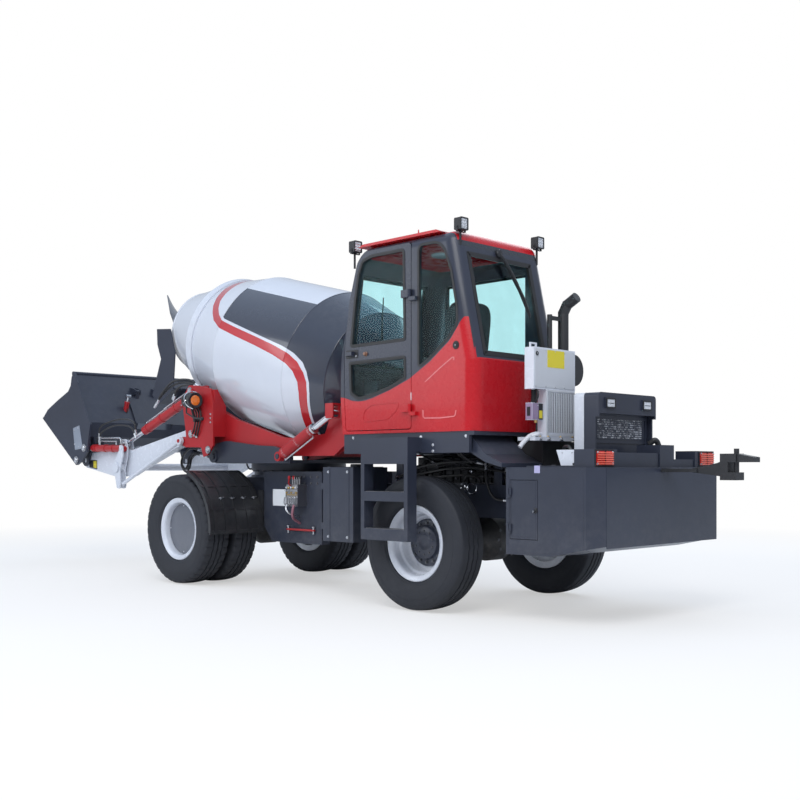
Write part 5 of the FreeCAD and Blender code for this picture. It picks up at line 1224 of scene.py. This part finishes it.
class MIXER_OT_bucket_trim(bpy.types.Operator):
    """Add the bucket's edge bars, the beads on its back and the gate rams"""
    bl_idname = "mixer.bucket_trim"
    bl_label = "Bucket Trim"

    def execute(self, context):
        trim, ram = Shape(), Shape()
        for s in (1, -1):
            trim.bar([(5345, 850, 2062), (5440, 850, 2176)], 0.008, 10, 0, s)
        trim.bar([(5442, -845, 2182), (5442, 845, 2182)], 0.014)
        for y in (-520, -180, 180, 520):
            trim.bar([(5437, y, 2158), (5123, y, 1636)], 0.004, 8)
        trim.become("bucket_edges", "dark", "dark_paint", "bucket")
        for s in (1, -1):
            foot, head = at(5232, s * 330, 1690), at(5150, s * 330, 1935)
            run = (head - foot).normalized()
            ram.tube([foot, foot + run * 0.185], 0.027, 18)
            ram.tube([foot + run * 0.17, head], 0.012, 14, 1)
            ram.disc([(-0.008, 0.030), (0.012, 0.030)], foot + run * 0.18, run, 20)
            for p in (foot, head):
                ram.tube([p + Vector((0, -0.03, 0)), p + Vector((0, 0.03, 0))], 0.017, 16, 2)
            bends = ((-0.028, 0.02), (-0.05, 0.03), (-0.062, 0.13), (-0.04, 0.15))
            ram.tube([foot + Vector((x, 0, z)) for x, z in bends], 0.006, 8, 3)
        ram.become("gate_rams", "frame_red chrome zinc hose", "red_paint", "bucket")
        return {"FINISHED"}


# Hose runs: name, body, share of the hose radius, and places in millimetres on the left
HOSES = (
    ("lift", "lift_barrels", 1, (
        [(3330, 640, 1930), (3480, 668, 1985), (3700, 690, 1960), (3900, 706, 1850), (3990, 712, 1760)],
        [(3330, 622, 1945), (3460, 660, 2010), (3660, 712, 1998), (3850, 724, 1880), (3930, 724, 1790)],
        [(3350, 628, 1918), (3500, 652, 1962), (3640, 672, 1928), (3700, 682, 1835)],
        [(3345, 655, 1905), (3420, 690, 1955), (3560, 716, 1925), (3640, 712, 1815)])),
    ("arm", "bucket_barrels", 0.85, (
        [(4300, 752, 1475), (4330, 762, 1600), (4560, 766, 1640), (4850, 768, 1610), (5000, 774, 1560),
         (5015, 776, 1450)],
        [(4300, 752, 1440), (4380, 762, 1545), (4600, 766, 1575), (4800, 768, 1560), (4960, 782, 1500),
         (4990, 790, 1415)])),
    ("nose", "cradle", 0.9, (
        [(3440, 520, 1290), (3610, 526, 1312), (3740, 522, 1258), (3800, 516, 1165), (3745, 510, 1100),
         (3690, 506, 1150), (3670, 504, 1230), (3590, 500, 1262), (3450, 480, 1240)],
        [(3440, 480, 1305), (3630, 486, 1330), (3790, 484, 1262), (3850, 480, 1150), (3780, 474, 1072),
         (3710, 470, 1120), (3690, 468, 1215), (3600, 462, 1252), (3440, 440, 1228)],
        [(3440, 440, 1310), (3650, 442, 1338), (3850, 436, 1265), (3920, 430, 1170), (3860, 426, 1100),
         (3780, 424, 1135), (3740, 422, 1215), (3620, 420, 1262), (3440, 402, 1236)])),
    ("frame", REAR, 1, (
        [(700, 380, 1010), (300, 440, 1080), (-100, 430, 1120), (-500, 400, 1080), (-800, 380, 1010)],
        [(700, 410, 1030), (320, 480, 1130), (-120, 470, 1165), (-520, 440, 1120), (-840, 420, 1040)],
        [(700, 350, 1000), (260, 400, 1040), (-140, 390, 1060), (-560, 360, 1030), (-820, 340, 1000)],
        [(-350, 470, 1140), (-380, 500, 1000), (-430, 470, 880), (-520, 400, 860)],
        [(-520, 430, 1120), (-560, 470, 980), (-640, 450, 860), (-760, 400, 830)])),
)
CAB_HOSES = (
    [(-180, 600, 1355), (-200, 620, 1250), (-240, 560, 1180), (-300, 470, 1150)],
    [(-120, 560, 1355), (-130, 590, 1260), (-160, 520, 1190), (-220, 450, 1160)],
    [(300, 640, 1355), (280, 650, 1280), (240, 560, 1210), (200, 460, 1150)],
)


def lay_hoses(name, runs, body, radius, s=1):
    """Hoses with a crimped end and a nut at both ends."""
    shape = Shape()
    for run in runs:
        path = smooth_path([at(x, s * y, z) for x, y, z in run], 10)
        shape.tube(path, radius)
        for end, after in ((path[0], path[2]), (path[-1], path[-3])):
            way = (after - end).normalized()
            shape.tube([end - way * 0.004, end + way * 0.045], radius * 1.28, 12, 1)
            shape.hex_head(end - way * 0.006, -way, radius * 1.15, 0.014, 1)
    return shape.become(name, "hose zinc", "black_plastic", body)


class MIXER_OT_hoses(bpy.types.Operator):
    """Lay the hydraulic hoses and their crimped ends"""
    bl_idname = "mixer.hoses"
    bl_label = "Hoses"

    def execute(self, context):
        r = settings().hose_radius
        for side, s in SIDES:
            for name, body, share, runs in HOSES:
                lay_hoses("%s_hoses_%s" % (name, side), runs, body, r * share, s)
        lay_hoses("cab_hoses", CAB_HOSES, REAR, r * 0.9)
        return {"FINISHED"}


# ---- front carrier and drum ----------------------------------------------------------------------
VALVE_FACE = 611                                # left face of the valve group
FRAME_SIDE = 500                                # outer face of the front frame's side plates


class MIXER_OT_valves(bpy.types.Operator):
    """Add the valve group, blank plate and lock bar on the front frame's sides"""
    bl_idname = "mixer.valves"
    bl_label = "Valve Group"

    def execute(self, context):
        fits, side = Shape(), Shape()
        face = VALVE_FACE
        for i, x in enumerate((1805, 1838, 1871, 1904, 1937)):
            fits.disc([(0, 0.011), (0.018, 0.011), (0.02, 0.008)], at(x, face - 2, 930), LEFT, 16, i % 2)
            fits.disc([(0, 0.010), (0.014, 0.010)], at(x, face - 2, 885), LEFT, 6, (i + 1) % 2)
            fits.disc([(0, 0.009), (0.024, 0.009), (0.027, 0.006)], at(x, face - 2, 842), LEFT, 12)
            fits.disc([(0, 0.011), (0.012, 0.013), (0.026, 0.013), (0.033, 0.007)], at(x, 560, 1008), UP, 14,
                      3 if i == 3 else 2)
            fits.bar([(x, face + 14, 842), (x, face + 32, 838), (x + 4, face + 34, 790), (x + 10, face + 6, 768)],
                     0.006, 10)
        fits.block(1796, 1944, face - 1, face + 5, 862, 870, 1)
        fits.block(1796, 1944, face - 1, face + 4, 905, 911)
        fits.bar([(1890, face + 4, 950), (1880, face + 30, 975), (1866, face + 36, 1012)], 0.007, 10, 3)
        fits.disc([(0, 0.010), (0.02, 0.014), (0.034, 0.008)], at(1866, face + 36, 1008), (-0.2, 0.1, 1), 14, 3)
        fits.bar([(1820, face + 16, 775), (1815, face + 34, 730), (1826, face + 30, 680), (1860, face - 20, 640),
                  (1882, 530, 615), (1886, 503, 600)], 0.012, 12, 4, bend=8)
        fits.bar([(1915, face + 16, 775), (1918, face + 30, 740), (1890, face + 20, 700), (1892, 540, 668),
                  (1894, 503, 660)], 0.009, bend=8)
        fits.become("valve_fittings", "zinc brass plastic frame_red tube_pink", "steel", FRONT)
        for s in (1, -1):
            place = on_side(FRAME_SIDE, s)
            side.pad(card(2095, 755, 2285, 912, 4), place, -0.5, 1.8)
            for x in (2107, 2273):
                for z in (767, 900):
                    side.disc([(0.001, 0.005), (0.004, 0.004)], place(x, z, 0), (0, s, 0), 12, 1)
            for x in (1680, 2040):
                side.tube([place(x, 505, 12), place(x, 572, 12)], 0.009, 12, 1)
                side.disc([(-0.004, 0.016), (0.004, 0.016)], place(x, 572, 12), UP, 16, 1)
                side.pad(card(x - 20, 520, x + 20, 558, 4), place, -0.5, 5, 2)
            side.tube([place(1665, 541, 14), place(2055, 541, 14)], 0.010, 12, 3)
            side.rim(round_outline([(1600, 436, 12), (1600, 1062, 20), (2400, 1062, 20), (2400, 566), (2294, 436)]),
                     -4, 0, place, -0.5, 1.2, 2)
        side.become("frame_side_fittings", "plate zinc dark frame_red", "steel", FRONT, bevel=0.0006)
        rows("frame_side_bolts", lambda p: p.hex_head(at(1640, FRAME_SIDE, 1030), LEFT, settings().frame_bolt, 0.008),
             4, (90, 0, 0), "zinc_dark", FRONT, up=2, rise=(0, 0, -60))
        return {"FINISHED"}


class MIXER_OT_drum_trim(bpy.types.Operator):
    """Add the drum's weld beads, mouth lip and drive bolts"""
    bl_idname = "mixer.drum_trim"
    bl_label = "Drum Trim"

    def execute(self, context):
        beads, lip, bolts = Shape(), Shape(), Shape()
        height = 0.003
        for station, radius, width, slope in ((1.256, 0.760, 0.012, 0.0), (2.344, 0.760, 0.012, 0.0),
                                              (0.678, 0.642, 0.014, 0.26), (2.80, 0.639, 0.012, -0.5)):
            beads.lathe([(station + width * a, radius + height * b + slope * width * a) for a, b in (
                (-1 / 2, -1), (-1 / 3, 0.8), (0, 1), (1 / 3, 0.8), (1 / 2, -1))], MOUTH, SPIN_AXIS, 120)
        beads.become("drum_beads", "drum", "white_paint", "drum", smooth=70)
        lip.lathe([(-0.004, 0.418), (-0.009, 0.424), (-0.004, 0.433), (0.014, 0.434), (0.018, 0.429), (0.018, 0.42),
                   (0.004, 0.414)], MOUTH, SPIN_AXIS, 96)
        lip.become("drum_lip", "white", "white_paint", "drum", smooth=60)
        for a in circle(16):
            out = SPIN_UP * math.cos(a) + Vector(LEFT) * math.sin(a)
            bolts.hex_head(MOUTH + SPIN_AXIS * 2.999 + out * 0.37, SPIN_AXIS, 0.011, 0.010)
        bolts.become("drum_drive_bolts", "zinc_dark", "steel", "drum")
        return {"FINISHED"}


class MIXER_OT_frame_trim(bpy.types.Operator):
    """Add the bolts of the cab skirt, tanks, rear axle and slewing ring, the step ridges and tank straps"""
    bl_idname = "mixer.frame_trim"
    bl_label = "Frame Trim"

    def execute(self, context):
        bolt = settings().frame_bolt
        skirt, tanks, caps = Shape(), Shape(), Shape()
        for x, z in ((668, 1360), (-99, 1353), (-560, 1353), (-225, 1290), (-225, 1244)):
            skirt.hex_head(at(x, 950, z), LEFT, bolt, 0.008)
        for x in (-80, 400):
            for z in (1290, 1320):
                skirt.hex_head(at(x, 1000, z), LEFT, bolt, 0.007)
        skirt.become("skirt_bolts", "zinc", "steel")
        rows("low_step_ridges", lambda p: p.block(-50, -42, 1008, 1092, 639, 643), 22, (19.6, 0, 0), "steel",
             up=2, rise=(0, 0, 290))
        for x in (850, 1090):
            for s, low, top in ((1, 490, 1120), (-1, 550, 1060)):
                y = 850 * s
                tanks.block(x - 20, x + 20, y - 2, y + 3, low, top)
                tanks.block(x - 20, x + 20, min(y, 450 * s), max(y, 450 * s), top - 1, top + 4)
                for z in (top - 40, low + 40):
                    tanks.hex_head(at(x, y + 3 * s, z), (0, s, 0), bolt, 0.008, 1)
        tanks.disc([(0, 0.05), (0.02, 0.05), (0.028, 0.044)], at(970, 640, 1120), UP, 32, 2)
        for z in (617, 957):
            for y in (730, 820):
                tanks.hex_head(at(1195, y, z), (1, 0, 0), bolt * 0.9, 0.008, 1)
        tanks.become("tank_straps", "dark zinc plastic", "dark_paint", bevel=0.001)
        ring_of("slew_ring_bolts", lambda p: p.hex_head((0.45, 0, 0), (0, 0, -1), 0.011, 0.012),
                (at(2500, 0, 0).x, 0.0, 1.089), UP, 24, "zinc_dark", FRONT)
        for s in (1, -1):
            for x in (-60, 60):
                caps.bar([(x, s * 345, 600), (x, s * 345, 742)], 0.011, 10)
                caps.hex_head(at(x, s * 345, 742), UP, 0.017, 0.014)
        for a in circle(10):
            caps.hex_head(at(0, 0, AXLE_HEIGHT) + Vector((-0.186, 0.13 * math.cos(a), 0.13 * math.sin(a))), BACK,
                          0.011, 0.01)
        caps.become("axle_bolts", "zinc_dark", "black_metal")
        return {"FINISHED"}


class MIXER_OT_driveline(bpy.types.Operator):
    """Add the gearbox, pumps, pipes and clamps that show between the cab and the rear frame"""
    bl_idname = "mixer.driveline"
    bl_label = "Gearbox and Pumps"

    def execute(self, context):
        bolt = settings().frame_bolt
        case, pumps, pipes = Shape(), Shape(), Shape()
        ahead = (1, 0, 0)
        case.disc([(0, 0.19), (0.02, 0.236), (0.045, 0.236), (0.06, 0.222), (0.15, 0.205), (0.165, 0.222),
                   (0.19, 0.222)], at(-600, 0, 985), ahead, 56)
        for corners in ((-412, 300, -236, 236, 988, 1204), (-330, 210, -200, 200, 1204, 1222),
                        (-300, 640, -150, 150, 1200, 1228), (300, 318, -250, 250, 985, 1218),
                        (318, 660, -206, 196, 992, 1206)):
            case.block(*corners)
        for x in range(-380, 290, 84):
            for y in (236, -250):
                case.block(x, x + 14, y, y + 14, 996, 1196)
        case.block(-412, 300, 236, 246, 1092, 1106)
        case.become("gearbox_case", "casting", "dark_paint", bevel=0.004)
        for x0, x1, y, z, r in ((330, 520, 232, 1128, 0.06), (332, 470, 226, 1040, 0.042), (540, 640, 220, 1090, 0.05)):
            long = (x1 - x0) / 1000
            pumps.disc([(0, r), (0.02, r), (0.024, r * 0.8), (long - 0.04, r * 0.8), (long - 0.036, r),
                        (long, r * 0.96)], at(x0, y, z), ahead, 32)
            for a in circle(6):
                pumps.hex_head(at(x0, y + 860 * r * math.cos(a), z + 860 * r * math.sin(a)), BACK, 0.006, 0.006, 1)
        for x in (-340, -172, -4, 164):
            for z in (1150, 1030):
                pumps.hex_head(at(x, 250, z), LEFT, bolt, 0.01, 1)
        for x, y, z in ((-300, 252, 1176), (60, 252, 1120), (420, 262, 1176)):
            pumps.disc([(0, 0.016), (0.02, 0.016), (0.024, 0.011), (0.04, 0.011)], at(x, y, z), (0.1, 1, 0.2), 18, 1)
        pumps.become("pump_group", "black zinc_dark", "black_metal", bevel=0.001)
        for run in (((-300, 270, 1180), (-240, 300, 1196), (-60, 330, 1190), (160, 318, 1150), (330, 290, 1132)),
                    ((60, 270, 1124), (10, 310, 1110), (-120, 340, 1080), (-300, 352, 1060), (-420, 350, 1040)),
                    ((420, 290, 1180), (330, 330, 1196), (120, 362, 1180), (-80, 372, 1140), (-260, 380, 1100)),
                    ((-60, 400, 1010), (-110, 412, 1052), (-200, 410, 1040), (-230, 404, 1000))):
            pipes.bar(run, 0.012, 10, bend=8)
        for x, z, lean in ((-66, 962, 0.5), (-158, 950, -0.35)):
            pipes.lathe([(0.0035 * math.cos(a), 0.040 + 0.0035 * math.sin(a)) for a in circle(8)], at(x, 424, z),
                        (lean, 1, 0.1), 40, 1)
            pipes.hex_head(at(x + 10, 424, z - 40), ahead, 0.006, 0.016, 1)
        pipes.hex_head(at(-112, 418, 956), LEFT, 0.012, 0.014, 1)
        pipes.bar([(-112, 400, 1000), (-112, 420, 985), (-112, 420, 956)], 0.007, 8, 1)
        pipes.hex_head(at(-130, 402, 1086), LEFT, 0.01, 0.012, 1)
        pipes.become("driveline_pipes", "hose chrome", "black_plastic")
        return {"FINISHED"}


# ---- stage ---------------------------------------------------------------------------------------
LAMPS = (
    ("key_lamp", (-6.0, 6.5, 8.0), (0, 0, 1.2), 5.0, 470, (1, 0.99, 0.97)),
    ("fill_lamp", (5.0, 8.0, 4.5), (0.6, 0, 1.0), 5.0, 190, (0.92, 0.96, 1)),
    ("back_lamp", (1.0, -8.0, 7.0), (0, 0, 1.6), 6.0, 220, (0.95, 0.98, 1)),
)


def seen(tree):
    """One for rays that come from the camera, also through glass."""
    path = put(tree, "ShaderNodeLightPath")
    return calc(tree, "MAXIMUM", path["Is Camera Ray"], path["Is Transmission Ray"])


def end_with(tree, kind, share, a, b):
    """Ends a tree with a mix of two shaders."""
    put(tree, kind, {0: put(tree, "ShaderNodeMixShader", {0: share, 1: a[0], 2: b[0]})[0]})


class MIXER_OT_stage(bpy.types.Operator):
    """Set the floor, soft lamps, world and camera"""
    bl_idname = "mixer.stage"
    bl_label = "Stage"

    def execute(self, context):
        scene = context.scene
        white = (1, 1, 1, 1)
        r = 60.0
        mesh = bpy.data.meshes.new("floor")
        mesh.from_pydata([(-r, -r, 0), (r, -r, 0), (r, r, 0), (-r, r, 0)], [], [(0, 1, 2, 3)])
        floor = bpy.data.objects.new("floor", mesh)
        scene.collection.objects.link(floor)
        mat = bpy.data.materials.new("pale_floor")
        mat.use_nodes = True
        tree = mat.node_tree
        tree.nodes.clear()
        far = remap(tree, vector_calc(tree, "LENGTH", split_object(tree)[0], out="Value"), 5.5, 12.0, 0.5, 1.0)
        end_with(tree, "ShaderNodeOutputMaterial", calc(tree, "MULTIPLY", far, seen(tree)),
                 put(tree, "ShaderNodeBsdfDiffuse", {0: (0.90, 0.88, 0.855, 1)}),
                 put(tree, "ShaderNodeEmission", {0: white}))
        mesh.materials.append(mat)
        scene.world = bpy.data.worlds.new("soft_sky")
        scene.world.use_nodes = True
        tree = scene.world.node_tree
        tree.nodes.clear()
        way = put(tree, "ShaderNodeSeparateXYZ", {0: put(tree, "ShaderNodeTexCoord")["Generated"]})
        height = remap(tree, way["Z"], 0.05, 0.75)
        sky = put(tree, "ShaderNodeBackground", {
            0: mix_colour(tree, height, (0.92, 0.95, 1.0, 1), (0.66, 0.79, 1.0, 1)),
            1: remap(tree, height, 0.0, 1.0, 0.38, 0.95)})
        end_with(tree, "ShaderNodeOutputWorld", seen(tree), sky, put(tree, "ShaderNodeBackground", {0: white, 1: 1.0}))
        for name, place, aim, size, power, tint in LAMPS:
            data = bpy.data.lights.new(name, "AREA")
            data.shape, data.size, data.energy, data.color = "SQUARE", size, power, tint
            lamp = bpy.data.objects.new(name, data)
            lamp.location = place
            lamp.rotation_euler = (Vector(aim) - Vector(place)).to_track_quat("-Z", "Y").to_euler()
            scene.collection.objects.link(lamp)
        data = bpy.data.cameras.new("view")
        data.lens, data.sensor_width, data.shift_y, data.clip_end = 49.32, 36, 67 / 800, 200
        camera = bpy.data.objects.new("view", data)
        camera.location = (-7.831, 7.047, 1.122)
        camera.rotation_euler = (math.pi / 2, 0, math.radians(224.875))
        scene.collection.objects.link(camera)
        scene.camera = camera
        scene.view_settings.view_transform = "Standard"
        return {"FINISHED"}


class MIXER_PT_panel(bpy.types.Panel):
    """Sizes, colours and pieces of the mixer"""
    bl_idname = "MIXER_PT_panel"
    bl_label = "Concrete Mixer"
    bl_space_type = "VIEW_3D"
    bl_region_type = "UI"
    bl_category = "Mixer"

    def draw(self, context):
        layout = self.layout
        for group in (context.scene.mixer_colours, context.scene.mixer_sizes):
            box = layout.box()
            for key in group.bl_rna.properties.keys():
                if key not in ("rna_type", "name"):
                    box.prop(group, key)
        for op in OPERATORS:
            layout.operator(op.bl_idname)


OPERATORS = [MIXER_OT_stage, MIXER_OT_paint, MIXER_OT_tyres, MIXER_OT_rims, MIXER_OT_door_trim, MIXER_OT_cab_trim,
             MIXER_OT_seat, MIXER_OT_controls, MIXER_OT_cooler, MIXER_OT_hood, MIXER_OT_tail, MIXER_OT_guards,
             MIXER_OT_lamps, MIXER_OT_front_gear, MIXER_OT_bucket_trim, MIXER_OT_hoses, MIXER_OT_valves,
             MIXER_OT_drum_trim, MIXER_OT_frame_trim, MIXER_OT_driveline]
CLASSES = [MixerColours, MixerSizes] + OPERATORS + [MIXER_PT_panel]


def register():
    for cls in CLASSES:
        bpy.utils.register_class(cls)
    bpy.types.Scene.mixer_colours = bpy.props.PointerProperty(type=MixerColours)
    bpy.types.Scene.mixer_sizes = bpy.props.PointerProperty(type=MixerSizes)


def unregister():
    del bpy.types.Scene.mixer_sizes
    del bpy.types.Scene.mixer_colours
    for cls in reversed(CLASSES):
        bpy.utils.unregister_class(cls)


def main():
    register()
    make_materials(bpy.context.scene.mixer_colours)
    for op in OPERATORS:
        group, name = op.bl_idname.split(".")
        getattr(getattr(bpy.ops, group), name)()


if __name__ == "__main__":
    main()
